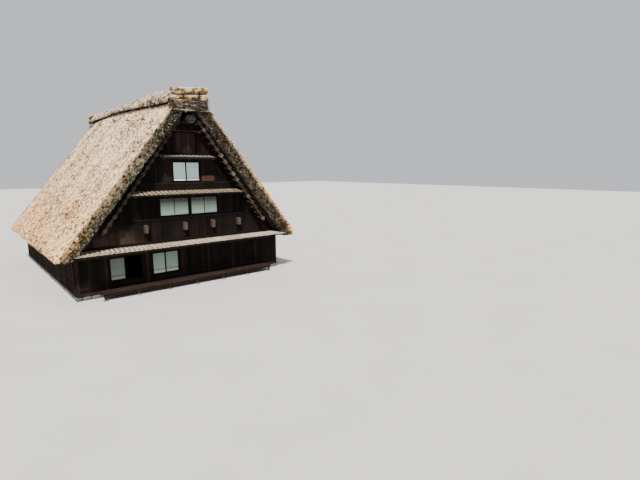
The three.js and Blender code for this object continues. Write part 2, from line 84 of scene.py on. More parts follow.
# The layers at each end of the ridge, as heights at the house's left and right
END_HALF_WIDTH = 1.157
END_OVERHANG = 1.056
END_LENGTH = 0.6
END_FRONT = 0.24
END_BARK = ((10.66, 10.70), (11.17, 11.36))
END_SECOND = ((11.18, 11.37), (11.49, 11.75))
END_GAP = ((11.46, 11.72), (11.68, 11.88))
END_TOP = ((11.64, 11.83), (11.94, 12.14))
END_BINDINGS = (-0.43, 0.55)
BINDING_TURNS = (-0.03, 0.0, 0.03)

NEEDLES = ((-5.30, 10.38), (-1.90, 10.58), (1.70, 10.85), (5.30, 10.80))
NEEDLE_RADIUS = 0.053
NEEDLE_REACH = 0.25

STOREY_2 = 2.87
STOREY_3 = 5.98
STOREY_4 = 8.13
FLOOR_BOARDS = 0.12
BEAM_PLACES = (-2.79, -0.34, 1.58, 3.52)
BEAM_WIDTH = 0.21
BEAM_BOTTOM = 3.45
BEAM_TOP = 3.95
BEAM_OUTSTAND = 0.30

FRAME_WIDTH = 0.08
FRAME_SHOWN = FRAME_WIDTH - 0.001
FRAME_BACK = 0.129
PAIR_WIDTH = 1.82
PAIR_POST = 0.13
WINDOW_2 = (4.39, 5.49)
WINDOW_2_MIDDLE = 0.12
WINDOW_3 = (6.51, 7.68)
SHUTTER_HALF = 0.68
SHUTTER_4 = (8.24, 9.47)
LOW_WINDOW = (0.87, 2.18)
LOW_LEFT_START = -4.95
LOW_RIGHT_START = -2.50
LOW_RIGHT_WIDTH = 1.72
FRONT_POSTS = (-6.64, -5.14, -2.815, -0.59, 1.22, 3.03, 4.84, 6.64)
RED_BOARD = (0.99, 1.85, 6.48, 6.83)

# Each pent roof's number, depth, height at the wall and at the front, half widths at the wall, past the
# verge and at the front, and arms
PENTS = (
    (1, 1.25, 2.87, 2.68, 6.59, 6.70, 7.05, 9),
    (2, 0.84, 5.98, 5.77, 3.62, 3.62, 3.62, 5),
    (3, 0.65, 8.13, 7.985, 1.78, 1.78, 1.78, 3),
)
PENT_THICK = 0.07

POLE_LOW = (5.33, 3.65)
POLE_HIGH = (0.56, 10.22)
POLE_PLANE = 0.60
POLE_RADIUS = 0.075
STUB_REACH = 0.705
KNOTS = 17

LOG_HALF = 0.325
LOG_BOTTOM = 9.96
LOG_MIDDLE = 10.20
LOG_TOP = 10.45
LOG_REACH = 0.95

VERANDA_HALF = 5.6
VERANDA_DEPTH = 0.95
VERANDA_TOP = 0.42
DOOR_HALF = 0.91
DOOR_TOP = 2.20

# The camera that took the photograph, found from the house's own lines
CAMERA_PLACE = (-11.90, -33.99, 7.32)
CAMERA_YAW = math.radians(41.54)
CAMERA_PITCH = math.radians(-9.51)
FOCAL_LENGTH = 24.24
SENSOR_WIDTH = 36.0
SUN_DIRECTION = (0.357, 0.446, -0.821)

BOX_FACES = [(0, 2, 3, 1), (4, 5, 7, 6), (0, 1, 5, 4), (2, 6, 7, 3), (0, 4, 6, 2), (1, 3, 7, 5)]

# The random table that noise reads, with the numbers that mix a cell's place into a place in it, and how
# far apart the grains of single boards may lie
NOISE_TABLE = 4096
NOISE_KEYS = (73856093, 19349663, 83492791)
GRAIN_SPREAD = 40


# Values and directions

def noise(points, size, seed):
    """Smooth values from -1 to 1 at points in metres, with bumps of about that size."""
    table = np.random.default_rng(seed).uniform(-1, 1, NOISE_TABLE)
    scaled = np.asarray(points, float) / size
    cell = np.floor(scaled).astype(np.int64)
    part = scaled - cell
    part = part * part * (3 - 2 * part)
    total = np.zeros(scaled.shape[:-1])
    for corner in product((0, 1), repeat=3):
        key = np.bitwise_xor.reduce((cell + corner) * NOISE_KEYS, axis=-1)
        total += np.prod(np.where(corner, part, 1 - part), axis=-1) * table[key % NOISE_TABLE]
    return total


def xyz(x, y, z):
    """Points from three numbers or arrays."""
    return np.stack(np.broadcast_arrays(x, y, z), axis=-1).astype(float)


def unit(vectors):
    return vectors / np.linalg.norm(vectors, axis=-1, keepdims=True)


def crosswise(axis):
    """Two directions square to each axis and to each other, for an (n, 3) array."""
    reference = np.where(np.abs(axis[:, 2:3]) > 0.9, [[1.0, 0.0, 0.0]], [[0.0, 0.0, 1.0]])
    across = unit(np.cross(axis, reference))
    return across, np.cross(axis, across)


def turns(count):
    """Angles evenly round a circle."""
    return 2 * math.pi * np.arange(count) / count


def circle(axis, sides):
    """Directions round each axis of an (n, 3) array, as (n, sides, 3)."""
    across, other = crosswise(axis)
    angle = turns(sides)[:, None]
    return np.cos(angle) * across[:, None] + np.sin(angle) * other[:, None]


def swell(value, power):
    """Bends a sine or cosine so that a circle becomes squarer."""
    return np.copysign(np.abs(value) ** power, value)


def tube_faces(m, k):
    """Faces round m rings of k points and over both ends."""
    index = np.arange(m * k).reshape(m, k)
    turned = np.roll(index, -1, axis=1)
    quads = np.stack([index[:-1], turned[:-1], turned[1:], index[1:]], axis=-1).reshape(-1, 4)
    return quads.tolist() + [index[0][::-1].tolist(), index[-1].tolist()]


def placed(name, data):
    thing = bpy.data.objects.new(name, data)
    bpy.context.collection.objects.link(thing)
    return thing


# Meshes

class Batch:
    """Collects closed shapes for one mesh. Each shape has a tint, from 0 to 1, a weather value, from 0 for
    clean to 1 for weathered, which also paints shade on the window paper, in the ridge cap's hollow and lip,
    in the gaps of the ridge's end layers and on the thatch's face near the ridge, and paints sunlight at the
    feet of the second storey's lower boards, and a grain, which gives its points along and across its own
    length. A batch with a side is drawn in that gable's frame, and back_seed is what the back gable adds to
    the seed."""

    def __init__(self, seed, side=None, back_seed=10):
        self.seed = seed + back_seed * (side == "back")
        self.rng = np.random.default_rng(self.seed)
        self.side = side
        self.count = 0
        self.faces = []
        self.points, self.tints, self.weathers, self.grains = [], [], [], []

    def keep(self, points, tints, weathers, grains):
        self.points.append(points)
        self.tints.append(tints)
        self.weathers.append(weathers)
        self.grains.append(grains)
        self.count += len(points)

    def add(self, points, faces, tint=None, weather=0.0, axis=None):
        points = np.asarray(points, float)
        tint = self.rng.uniform() if tint is None else tint
        if axis is None:
            axis = np.eye(3)[np.argmax(np.ptp(points, axis=0))]
        axis = unit(np.asarray(axis, float))
        across, other = crosswise(axis[None])
        local = points - points.mean(axis=0)
        grain = np.stack([local @ axis * 0.08, local @ across[0], local @ other[0]], axis=1)
        self.faces.extend([[int(i) + self.count for i in face] for face in faces])
        self.keep(points, np.broadcast_to(tint, len(points)), np.broadcast_to(weather, len(points)),
                  grain + self.rng.uniform(-GRAIN_SPREAD, GRAIN_SPREAD, 3))

    def add_many(self, points, faces, tint, weather):
        """points is (n, k, 3) for n like shapes, and faces index one shape's k points."""
        n, k = points.shape[:2]
        starts = self.count + np.arange(n)[:, None] * k
        for face in faces:
            self.faces.extend((starts + np.array(face)).tolist())
        flat = points.reshape(-1, 3)
        tints, weathers = (np.repeat(np.broadcast_to(value, n), k) for value in (tint, weather))
        self.keep(flat, tints, weathers, flat)

    def box(self, lo, hi, tint=None, weather=0.0):
        xs, ys, zs = zip(np.minimum(lo, hi), np.maximum(lo, hi))
        self.add([(x, y, z) for z in zs for y in ys for x in xs], BOX_FACES, tint, weather)

    def tube(self, rings, tint=None, weather=0.0, axis=None):
        """Skins a row of like rings and closes both ends. rings is (m, k, 3), and the rings run
        counter-clockwise seen from the last ring's side."""
        rings = np.asarray(rings, float)
        self.add(rings.reshape(-1, 3), tube_faces(*rings.shape[:2]), tint, weather, axis)

    def rods(self, starts, ends, radii, end_radii=None, sides=6, tint=None, weather=0.0):
        starts, ends = np.atleast_2d(starts).astype(float), np.atleast_2d(ends).astype(float)
        n = len(starts)
        ring = circle(unit(ends - starts), sides)
        radii = np.broadcast_to(radii, n)[:, None, None]
        end_radii = radii if end_radii is None else np.broadcast_to(end_radii, n)[:, None, None]
        points = np.concatenate([starts[:, None] + ring * radii, ends[:, None] + ring * end_radii], axis=1)
        tint = self.rng.uniform(0, 1, n) if tint is None else tint
        self.add_many(points, tube_faces(2, sides), tint, weather)

    def rope(self, path, radius, sides=6, tint=None, weather=0.0):
        """A rope along a path of points, closed at both ends."""
        path = np.asarray(path, float)
        ring = circle(unit(np.gradient(path, axis=0)), sides)
        for i in range(1, len(path)):
            if ring[i, 0] @ ring[i - 1, 0] < 0:
                ring[i] *= -1
        self.tube(path[:, None] + ring * radius, tint, weather, path[-1] - path[0] + 1e-6)

    def loop(self, centre, axis, radius, thick, tint):
        """A ring of rope round an axis."""
        around, sides = 14, 5
        axis = unit(np.asarray(axis, float))
        out = circle(axis[None], around)[0][:, None]
        angle = turns(sides)[:, None]
        points = centre + (radius + thick * np.cos(angle)) * out + thick * np.sin(angle) * axis
        index = np.arange(around * sides).reshape(around, sides)
        forward = np.roll(index, -1, axis=0)
        faces = np.stack([index, forward, np.roll(forward, -1, axis=1), np.roll(index, -1, axis=1)], axis=-1)
        self.add(points.reshape(-1, 3), faces.reshape(-1, 4), tint, 0.0, axis)

    def spikes(self, places, along, outward, length, width, weather, tint=None):
        """Closed slivers of straw, from each place along a direction, with the flat side outward."""
        n = len(places)
        along = unit(along)
        side = unit(np.cross(along, outward))
        up = np.cross(side, along)
        half = (np.broadcast_to(width, n) / 2)[:, None]
        tip = places + along * length[:, None] + up * half * 0.5
        ridge = places + up * half * 0.9
        points = np.stack([places - side * half, places + side * half, ridge, tip], axis=1)
        tint = self.rng.uniform(0, 1, n) if tint is None else tint
        self.add_many(points, [(0, 1, 2), (1, 0, 3), (2, 1, 3), (0, 2, 3)], tint, weather)

    def build(self, name, material, slot, *nodes, smooth=False):
        """Makes the mesh. The names of a gable's pieces and nodes start with its side."""
        points = np.concatenate(self.points)
        prefix = f"{self.side}_" if self.side else ""
        name, *nodes = (prefix + given for given in (name, *nodes))
        if self.side == "front":
            points = points + [0, -GABLE_FACE, 0]
        if self.side == "back":
            points = points * [-1, -1, 1] + [0, GABLE_FACE, 0]
        mesh = bpy.data.meshes.new(name)
        mesh.from_pydata(points.tolist(), [], self.faces)
        for attribute, kind, field, values in (("tint", "FLOAT", "value", self.tints),
                                               ("weather", "FLOAT", "value", self.weathers),
                                               ("grain", "FLOAT_VECTOR", "vector", self.grains)):
            layer = mesh.attributes.new(attribute, kind, "POINT")
            layer.data.foreach_set(field, np.concatenate(values).astype(np.float32).ravel())
        mesh.polygons.foreach_set("use_smooth", np.full(len(mesh.polygons), smooth))
        mesh.materials.append(material)
        mesh.update()
        thing = placed(name, mesh)
        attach(thing, "root")
        if nodes:
            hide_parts(*nodes)


# Materials

class Shader:
    """A material's node tree, with short names for the nodes that the finishes use."""

    def __init__(self, name, roughness=0.9, specular=0.05):
        self.material = bpy.data.materials.new(name)
        self.material.use_nodes = True
        self.tree = self.material.node_tree
        self.surface = self.tree.nodes["Principled BSDF"]
        self.surface.inputs["Roughness"].default_value = roughness
        self.surface.inputs["Specular IOR Level"].default_value = specular
        self.coordinates = self.node("TexCoord", "Object", {})

    def node(self, kind, output, inputs, **settings):
        """Adds a node, sets or links its inputs, and gives the named output."""
        made = self.tree.nodes.new("ShaderNode" + kind)
        for key, value in settings.items():
            setattr(made, key, value)
        for key, value in inputs.items():
            self.put(made.inputs[key], value)
        return made.outputs[output]

    def put(self, socket, value):
        if isinstance(value, bpy.types.NodeSocket):
            self.tree.links.new(value, socket)
        elif isinstance(value, tuple) and len(socket.default_value) == 4:
            socket.default_value = (*value, 1.0)
        else:
            socket.default_value = value

    def mapped(self, scale=(1, 1, 1), turn=(0, 0, 0), vector=None):
        return self.node("Mapping", "Vector", {"Vector": vector or self.coordinates, "Rotation": turn,
                                               "Scale": scale})

    def speckle(self, scale, detail=3.0, vector=None, roughness=0.55):
        return self.node("TexNoise", "Fac", {"Vector": vector or self.coordinates, "Scale": scale,
                                             "Detail": detail, "Roughness": roughness})

    def attribute(self, name, output="Fac"):
        return self.node("Attribute", output, {}, attribute_name=name)

    def ramp(self, factor, stops):
        """Colours a value. Each stop is its position, red, green and blue."""
        made = self.tree.nodes.new("ShaderNodeValToRGB")
        self.put(made.inputs["Fac"], factor)
        elements = made.color_ramp.elements
        while len(elements) < len(stops):
            elements.new(0.5)
        for element, (position, *color) in zip(elements, stops):
            element.position = position
            element.color = (*color, 1.0)
        return made.outputs["Color"]

    def levels(self, value, low, high, most=1.0):
        """Stretches a value so that low becomes 0 and high becomes most."""
        return self.node("MapRange", "Result", {"Value": value, "From Min": low, "From Max": high,
                                                "To Max": most})

    def mix(self, factor, first, second, blend="MIX"):
        return self.node("Mix", 2, {0: factor, 6: first, 7: second}, data_type="RGBA", blend_type=blend)

    def stain(self, color, value, low, high, second, most=1.0):
        """Mixes a second colour in as a value goes from low to high."""
        return self.mix(self.levels(value, low, high, most), color, second)

    def math(self, operation, first, second=0.0):
        return self.node("Math", 0, {0: first, 1: second}, operation=operation)

    def total(self, start, *terms):
        """A number and weighted values added up."""
        for value, weight in terms:
            start = self.node("Math", 0, {0: value, 1: weight, 2: start}, operation="MULTIPLY_ADD")
        return start

    def axis(self, index):
        return self.node("SeparateXYZ", index, {"Vector": self.coordinates})

    def finish(self, color, height=None, strength=0.0, distance=0.0):
        self.put(self.surface.inputs["Base Color"], color)
        if height is not None:
            bump = {"Strength": strength, "Distance": distance, "Height": height}
            self.put(self.surface.inputs["Normal"], self.node("Bump", "Normal", bump))
        return self.material


def straw_material(name, side, old_stops, brown_shade, moss_and_shade, bright, mottle_range):
    """Thatch: pale straw mottled with dark and light tufts, whose darkest specks are partly painted shade in
    the pits between tufts, browner near its edges, and old and dark where the weather value is 1. On a
    verge's face
    the old straw also gets painted shade: near-black patches, and darkening towards the ridge. brown_shade
    darkens the straw near the edges, moss_and_shade is how green the old straw is and how strongly painted
    shade darkens it towards the ridge, bright how pale its lightest bits are, and mottle_range the values
    that become darkest and palest."""
    s = Shader(name, 0.95)
    along = s.mapped(turn=(0, -side * (math.pi / 2 - THETA), 0))
    fine = s.speckle(1.0, 4.0, s.mapped((9, 30, 9), vector=along), 0.75)
    tufts = s.speckle(1.0, 1.0, s.mapped((4.4, 8.4, 4.4), vector=along), 0.5)
    leaning = s.mapped(turn=(0.2, 0, 0.3), vector=along)
    small = s.speckle(1.0, 1.0, s.mapped((6.8, 13, 6.8), vector=leaning), 0.5)
    tint, weather, height = s.attribute("tint"), s.attribute("weather"), s.axis(2)
    # The mottle's darkest specks are partly painted shade in the pits between tufts
    mottle = s.total(-0.18, (tufts, 0.4), (small, 0.6), (tint, 0.14), (s.speckle(0.45), 0.22))
    clean = s.ramp(s.levels(mottle, *mottle_range), [
        (0.0, 0.045, 0.024, 0.012), (0.16, 0.15, 0.085, 0.045), (0.30, 0.44, 0.27, 0.14),
        (0.46, 0.76, 0.51, 0.29), (0.62, 0.96, 0.70, 0.43), (0.82, 0.98, 0.82, 0.57)])
    clean = s.stain(clean, fine, 0.5, 0.34, (0.20, 0.11, 0.055), 0.3)
    rear = s.math("MULTIPLY", s.levels(height, 9.5, 2.4), s.levels(s.axis(1), -7.5, 7.0))
    rust = s.math("MULTIPLY", rear, s.levels(s.speckle(0.8, 4.0), 0.30, 0.62, 0.3))
    clean = s.mix(rust, clean, (0.46, 0.22, 0.085))
    clean = s.mix(s.levels(height, 9.5, 2.4, 0.8), clean, (1.0, 0.80, 0.58), "MULTIPLY")
    brown = s.mix(1.0, clean, brown_shade, "MULTIPLY")
    old = s.ramp(tint, old_stops)
    # Near-black patches on the old straw: painted shade in the hollows of the verge's rough face
    old = s.stain(old, s.speckle(4.2, roughness=0.65), 0.47, 0.56, (0.008, 0.007, 0.005), 0.85)
    # Painted shade: the old straw darkens towards the ridge
    old = s.mix(s.levels(height, 7.4, 9.6, min(1.8 * moss_and_shade, 1.0)), old, (0.36, 0.38, 0.33), "MULTIPLY")
    old = s.stain(old, s.speckle(9.0, 1.0, roughness=0.6), 0.61, 0.68, (0.56, 0.50, 0.39), bright)
    old = s.stain(old, s.speckle(2.3, 4.0), 0.5, 0.72, (0.055, 0.06, 0.024), moss_and_shade)
    old = s.mix(s.levels(height, 8.5, 3.0, moss_and_shade), old, (0.42, 0.44, 0.30), "MULTIPLY")
    color = s.stain(s.stain(clean, weather, 0.12, 0.36, brown), weather, 0.36, 0.86, old)
    return s.finish(color, fine, 0.6, 0.02)


def cap_material(name):
    """The ridge cap's coarse straw, in lumps from near black to pale tan, paler on top as painted light from
    above, and near black where its weather value is 1, which paints the shade in its hollow and along its
    lip."""
    s = Shader(name, 0.95)
    fine = s.speckle(24.0, 4.0, roughness=0.7)
    # The height term makes the top paler: painted light from above
    mottle = s.total(-0.07, (s.speckle(2.7, 2.0), 0.5), (s.speckle(6.0, 2.0, roughness=0.6), 0.5),
                     (s.attribute("tint"), 0.14), (s.levels(s.axis(2), 11.5, 12.0), 0.05))
    color = s.ramp(s.levels(mottle, 0.41, 0.61), [
        (0.0, 0.012, 0.009, 0.006), (0.16, 0.07, 0.048, 0.030), (0.32, 0.28, 0.195, 0.125),
        (0.5, 0.55, 0.41, 0.28), (0.75, 0.86, 0.69, 0.51), (1.0, 0.97, 0.85, 0.69)])
    color = s.stain(color, fine, 0.45, 0.68, (0.08, 0.055, 0.035), 0.4)
    color = s.mix(s.attribute("weather"), color, (0.012, 0.009, 0.006))
    return s.finish(color, fine, 0.6, 0.015)


def bundle_material(name, stops, dust, spotted=0.0):
    """Bound straw, reed or rope, with its streaks along each stalk."""
    s = Shader(name, specular=0.08)
    fine = s.speckle(30.0, 4.0, roughness=0.65)
    color = s.ramp(s.attribute("tint"), stops)
    color = s.stain(color, fine, 0.65, 0.35, (0.05, 0.035, 0.02), 0.45)
    color = s.stain(color, s.speckle(1.7), 0.45, 0.7, dust, 0.3)
    color = s.stain(color, s.speckle(5.0, 2.0, roughness=0.6), 0.53, 0.64, (0.04, 0.028, 0.018), spotted)
    color = s.stain(color, s.attribute("weather"), 0.0, 1.0, (0.06, 0.05, 0.042), 0.72)
    return s.finish(color, fine, 0.5, 0.01)


def wood_material(name, stops, worn_and_sunlit, streak=0.55, lines=0.35):
    """Boards, each with its own shade, grain along its length, and a worn colour where the weather value is
    1, which on the second storey's lower boards is painted sunlight.
    """
    s = Shader(name, 0.85)
    grain = s.attribute("grain", "Vector")
    fine = s.speckle(70.0, 4.0, grain, 0.65)
    color = s.ramp(s.attribute("tint"), stops)
    color = s.stain(color, s.speckle(11.0, 3.0, grain), 0.66, 0.36, (0.008, 0.006, 0.005), streak)
    color = s.stain(color, fine, 0.45, 0.7, worn_and_sunlit, lines)
    # Where the weather value is high the worn colour shows; on the second storey's lower boards it is
    # painted sunlight
    wear_and_sunlight = s.math("MULTIPLY", s.attribute("weather"), s.levels(s.speckle(1.1, 4.0), 0.25, 0.6))
    color = s.mix(wear_and_sunlight, color, s.mix(s.math("MULTIPLY", fine, 0.8), worn_and_sunlit, color))
    return s.finish(color, fine, 0.5, 0.006)


def plank_material(name, across, along, width, dark, light):
    """Planks of one width drawn on a plain CAD slab. across and along are the axes as 0, 1 or 2."""
    s = Shader(name, 0.85)
    place = s.math("DIVIDE", s.axis(across), width)
    seam = s.math("ABSOLUTE", s.math("SUBTRACT", s.math("FRACT", place), 0.5))
    shade = s.node("TexWhiteNoise", "Value", {"W": s.math("FLOOR", place)}, noise_dimensions="1D")
    scale = tuple(3.0 if index == along else 40.0 for index in range(3))
    fine = s.speckle(1.0, 4.0, s.mapped(scale), 0.65)
    color = s.stain(s.mix(shade, dark, light), fine, 0.4, 0.65, s.mix(0.6, dark, (0.01, 0.008, 0.006)), 0.5)
    color = s.stain(color, seam, 0.47, 0.485, (0.006, 0.005, 0.004))
    return s.finish(color, fine, 0.4, 0.005)


def paper_material(name):
    """Window paper: cool white with soft blotches, darker and greener where its weather value is 1, which on
    the paper is painted shade.
    """
    s = Shader(name, 0.85, 0.15)
    fibres = s.speckle(45.0, roughness=0.7)
    weather = s.attribute("weather")
    color = s.ramp(s.attribute("tint"), [
        (0.0, 0.52, 0.72, 0.71), (0.6, 0.66, 0.88, 0.88), (1.0, 0.97, 0.98, 0.97)])
    color = s.stain(color, s.speckle(3.0, 4.0), 0.45, 0.75, (0.50, 0.56, 0.52), 0.2)
    color = s.mix(s.levels(weather, 0.05, 0.35), color, (0.97, 1.0, 0.80), "MULTIPLY")
    color = s.mix(weather, color, (0.045, 0.053, 0.045))
    color = s.stain(color, fibres, 0.5, 0.7, (0.9, 0.9, 0.86), 0.12)
    return s.finish(color, fibres, 0.15, 0.002)


def stone_material(name):
    s = Shader(name, specular=0.25)
    fine = s.speckle(38.0, 4.0, roughness=0.7)
    color = s.ramp(s.attribute("tint"), [
        (0.0, 0.08, 0.075, 0.068), (0.5, 0.15, 0.14, 0.125), (1.0, 0.24, 0.22, 0.19)])
    color = s.stain(color, fine, 0.5, 0.68, (0.06, 0.06, 0.055), 0.55)
    color = s.stain(color, s.speckle(4.0, 5.0), 0.52, 0.7, (0.13, 0.14, 0.08), 0.55)
    color = s.mix(s.attribute("weather"), color, (0.05, 0.045, 0.04))
    return s.finish(color, fine, 0.6, 0.01)


# Camera, light and floor

def studio():
    lens = bpy.data.cameras.new("camera")
    lens.lens = FOCAL_LENGTH
    lens.sensor_width = SENSOR_WIDTH
    lens.clip_end = 500
    camera = placed("camera", lens)
    camera.location = CAMERA_PLACE
    camera.rotation_euler = (math.pi / 2 + CAMERA_PITCH, 0, -CAMERA_YAW)
    bpy.context.scene.camera = camera

    sun = bpy.data.lights.new("key", "SUN")
    sun.energy = 7.2
    sun.angle = math.radians(4)
    sun.color = (1.0, 0.97, 0.93)
    placed("key", sun).rotation_euler = Vector(SUN_DIRECTION).to_track_quat("-Z", "Y").to_euler()
    world = bpy.data.worlds.new("studio")
    world.use_nodes = True
    background = world.node_tree.nodes["Background"]
    background.inputs["Color"].default_value = (0.90, 0.94, 1.0, 1.0)
    background.inputs["Strength"].default_value = 0.75
    bpy.context.scene.world = world

    half = 150
    mesh = bpy.data.meshes.new("floor")
    corners = [(-half, -half, 0), (half, -half, 0), (half, half, 0), (-half, half, 0)]
    mesh.from_pydata(corners, [], [(0, 1, 2, 3)])
    s = Shader("floor", specular=0.1)
    color = s.ramp(s.speckle(0.3, 4.0), [(0.3, 0.56, 0.55, 0.53), (0.7, 0.60, 0.59, 0.57)])
    mesh.materials.append(s.finish(color))
    thing = placed("floor", mesh)


# Roof lines

def outer_x(z):
    return (APEX_OUTER - z) / SLOPE


def inner_x(z):
    return (APEX_INNER - z) / SLOPE


def roof_z(x):
    """Height of the thatch's underside over a place in a gable."""
    return APEX_INNER - SLOPE * abs(x)


def on_slope(side, u, v, n):
    """u runs down the slope from the apex, v along the ridge, n out of the slope."""
    x = side * (u * math.cos(THETA) + n * math.sin(THETA))
    return xyz(x, v, APEX_OUTER - u * math.sin(THETA) + n * math.cos(THETA))


# Thatched slopes

def verge_profile(spacing):
    """Points (v, n) from under the front verge, up its face and over the slope to the back verge, the
    direction (v, n) out of the straw at each, and how far each lies from the verge's edge: more than 0
    on the slope and less than 0 on the face."""
    start = -VERGE_Y
    lip = [(start + 0.26, -THATCH_THICK - 0.01, 0.3, -0.95, -0.85), (start + 0.17, -0.61, 0.0, -1.0, -0.76),
           (start + 0.08, -0.635, -0.35, -0.93, -0.67), (start + 0.01, -0.60, -0.85, -0.5, -0.60)]
    face = [(start, n, -1.0, 0.0, n) for n in np.arange(-THATCH_THICK, -VERGE_ROUND, min(spacing, 0.07))]
    corner = [(start + VERGE_ROUND * (1 - math.cos(a)), -VERGE_ROUND * (1 - math.sin(a)),
               -math.cos(a), math.sin(a), VERGE_ROUND * (a - math.pi / 4))
              for a in np.linspace(0, math.pi / 2, 5)]
    reach = VERGE_Y - VERGE_ROUND
    steps = np.linspace(-reach, reach, int(2 * reach / spacing))[1:-1]
    top = [(v, 0.0, 0.0, 1.0, VERGE_Y - abs(v)) for v in steps]
    front = lip + face + corner
    back = [(-v, n, -out_v, out_n, edge) for v, n, out_v, out_n, edge in reversed(front)]
    return np.array(front + top + back)


def slope_reach(n):
    """Where the slab starts under the ridge and ends at the eave, as u, for a depth n."""
    top, foot = ((APEX_OUTER - z + n * math.cos(THETA)) / math.sin(THETA) for z in (SLOPE_TOP, EAVE_HEIGHT))
    return np.maximum(top, -n * math.tan(THETA) + 0.01), foot


def thatch_lift(places, u, face):
    """How far the straw stands out of the even surface. face is 0 on the slope and 1 on a verge's face."""
    step = (u + 0.15 * noise(places, 1.3, 5)) / 0.62
    lift = 0.028 * noise(places, 2.4, 1) + 0.022 * noise(places, 0.8, 2)
    lift += 0.018 * noise(places, 0.34, 3) + 0.020 * noise(places, 0.17, 4)
    lift += 0.020 * ((step % 1.0) - 0.6) * (1 - face)
    lift += face * (0.06 * noise(places, 0.6, 6) + 0.05 * noise(places, 0.24, 7))
    return lift - 0.018


def verge_roll(side, edge, u):
    """How much thicker the right slope's straw is at its verges, which rolls their edges outward."""
    across = np.where(edge > 0, np.exp(-((edge / 0.45) ** 2)), np.clip(1 + edge / 0.5, 0, 1))
    ends = np.clip((u - 0.5) / 0.8, 0, 1) * np.clip(0.3 + (SLOPE_LENGTH - u) / 1.2, 0, 1)
    return VERGE_ROLL * across * ends * (side > 0)


def thatch_weather_and_shade(places, edge, side):
    """0 on the slope, growing down a verge's face to 1, with a ragged border. The house's right side is
    darker up to its edges, and the left side's face is darker near the ridge, which is painted shade."""
    ragged = 0.16 * noise(places, 0.9, 12) + 0.14 * noise(places, 0.35, 13) + 0.10 * noise(places, 0.15, 14)
    height = places[..., 2]
    start, depth, width = (0.22, 0.90, 0.60) if side < 0 else (0.34, 0.35, 0.30)
    start = start - 0.12 * np.clip((9 - height) / 4, 0, 1) * (side > 0)
    # Painted shade: the left side's face turns old and dark towards the ridge
    near_ridge = 0.42 * np.clip((height - 7.6) / 2, 0, 1) * (side < 0)
    face = start + near_ridge - edge / depth + 1.3 * ragged
    return np.clip(np.where(edge < 0, face, start - edge / width + ragged), 0, 1)


def thatch(name, side, material):
    """A slope's straw as one closed sheet, with its slivers. The faces are made for the left slope and
    turned for the right."""
    batch = Batch(11 + side)
    v, n, out_v, out_n, edge = verge_profile(0.1).T
    count, rings = len(v), 140
    top, foot = slope_reach(n)
    u = top + (foot - top) * np.linspace(0, 1, rings)[:, None]
    rolled = n + verge_roll(side, edge, u)
    even = on_slope(side, u, v, rolled)
    lift = thatch_lift(even, u, np.abs(out_v))
    lift[:, [0, -1]] = 0
    places = on_slope(side, u, v + lift * out_v, rolled + lift * out_n)
    places[-1, :, 2] = EAVE_HEIGHT
    index = np.arange(rings * count).reshape(rings, count)
    quads = np.stack([index[:-1, :-1], index[1:, :-1], index[1:, 1:], index[:-1, 1:]], axis=-1)
    faces = quads.reshape(-1, 4).tolist()

    # The top under the ridge, the cut at the eave, the underside and the two ends
    extra, strips = [], []
    for ring, reach in zip((0, rings - 1), slope_reach(np.full(count, n[0]))):
        line = on_slope(side, reach, np.linspace(v[0], v[-1], count), n[0])
        start = rings * count + len(extra)
        extra.extend(line[1:-1].tolist())
        inner = [index[ring, 0], *range(start, start + count - 2), index[ring, -1]]
        strips.append(inner)
        for i in range(count - 1):
            quad = list(dict.fromkeys([index[ring, i], index[ring, i + 1], inner[i + 1], inner[i]]))
            faces.append(quad if ring else quad[::-1])
    under, low = strips
    faces += [[under[i], under[i + 1], low[i + 1], low[i]] for i in range(1, count - 2)]
    faces.append([*index[:, 0].tolist(), low[1], under[1]][::-1])
    faces.append([*index[::-1, -1].tolist(), under[-2], low[-2]][::-1])
    if side > 0:
        faces = [face[::-1] for face in faces]

    sheet = np.concatenate([places.reshape(-1, 3), extra])
    weather = np.concatenate([thatch_weather_and_shade(even, edge, side).ravel(), np.ones(len(extra))])
    batch.add(sheet, faces, 0.5 + 0.35 * noise(sheet, 0.2, 9) + 0.15 * noise(sheet, 0.09, 10), weather)
    straws(batch, side, STRAWS)
    verge_tips(batch, side, VERGE_TIPS)
    eave_ends(batch, side, EAVE_ENDS)
    batch.build(f"{name}_straw", material, "thatch", name)


def slope_directions(side, out_v, out_n):
    """Down the slope, and out of the straw."""
    origin = on_slope(side, 0, 0, 0)
    return on_slope(side, 1, 0, 0) - origin, on_slope(side, 0, out_v, out_n) - origin


def straws(batch, side, count):
    """Slivers of straw that lie down the slope and round the verges."""
    rng, draw = batch.rng, batch.rng.uniform
    profile = verge_profile(0.03)
    near = rng.integers(0, 20, count)
    at_verge = np.where(draw(0, 1, count) < 0.5, near, len(profile) - 1 - near)
    anywhere = rng.integers(0, len(profile), count)
    v, n, out_v, out_n, edge = profile[np.where(draw(0, 1, count) < 0.2, at_verge, anywhere)].T
    top, foot = slope_reach(n)
    u = top + (foot - top) * draw(0.02, 0.99, count)
    face = np.abs(out_v)
    n = n + verge_roll(side, edge, u)
    even = on_slope(side, u, v, n)
    lift = thatch_lift(even, u, face) - 0.004
    base = on_slope(side, u, v + lift * out_v, n + lift * out_n)
    down, outward = slope_directions(side, out_v, out_n)
    swing = rng.normal(0, 0.16, count) + rng.choice([0, 0, 0, 0.5, -0.5], count)
    stand = draw(0.03, 0.14, count) + face * draw(0.1, 0.8, count)
    along = down + np.cross(down, outward) * swing[:, None] + outward * stand[:, None]
    length = np.minimum(draw(0.14, 0.42, count) * (1 - 0.6 * face), foot - u + 0.05)
    batch.spikes(base, along, outward, length, draw(0.025, 0.07, count), thatch_weather_and_shade(even, edge, side))


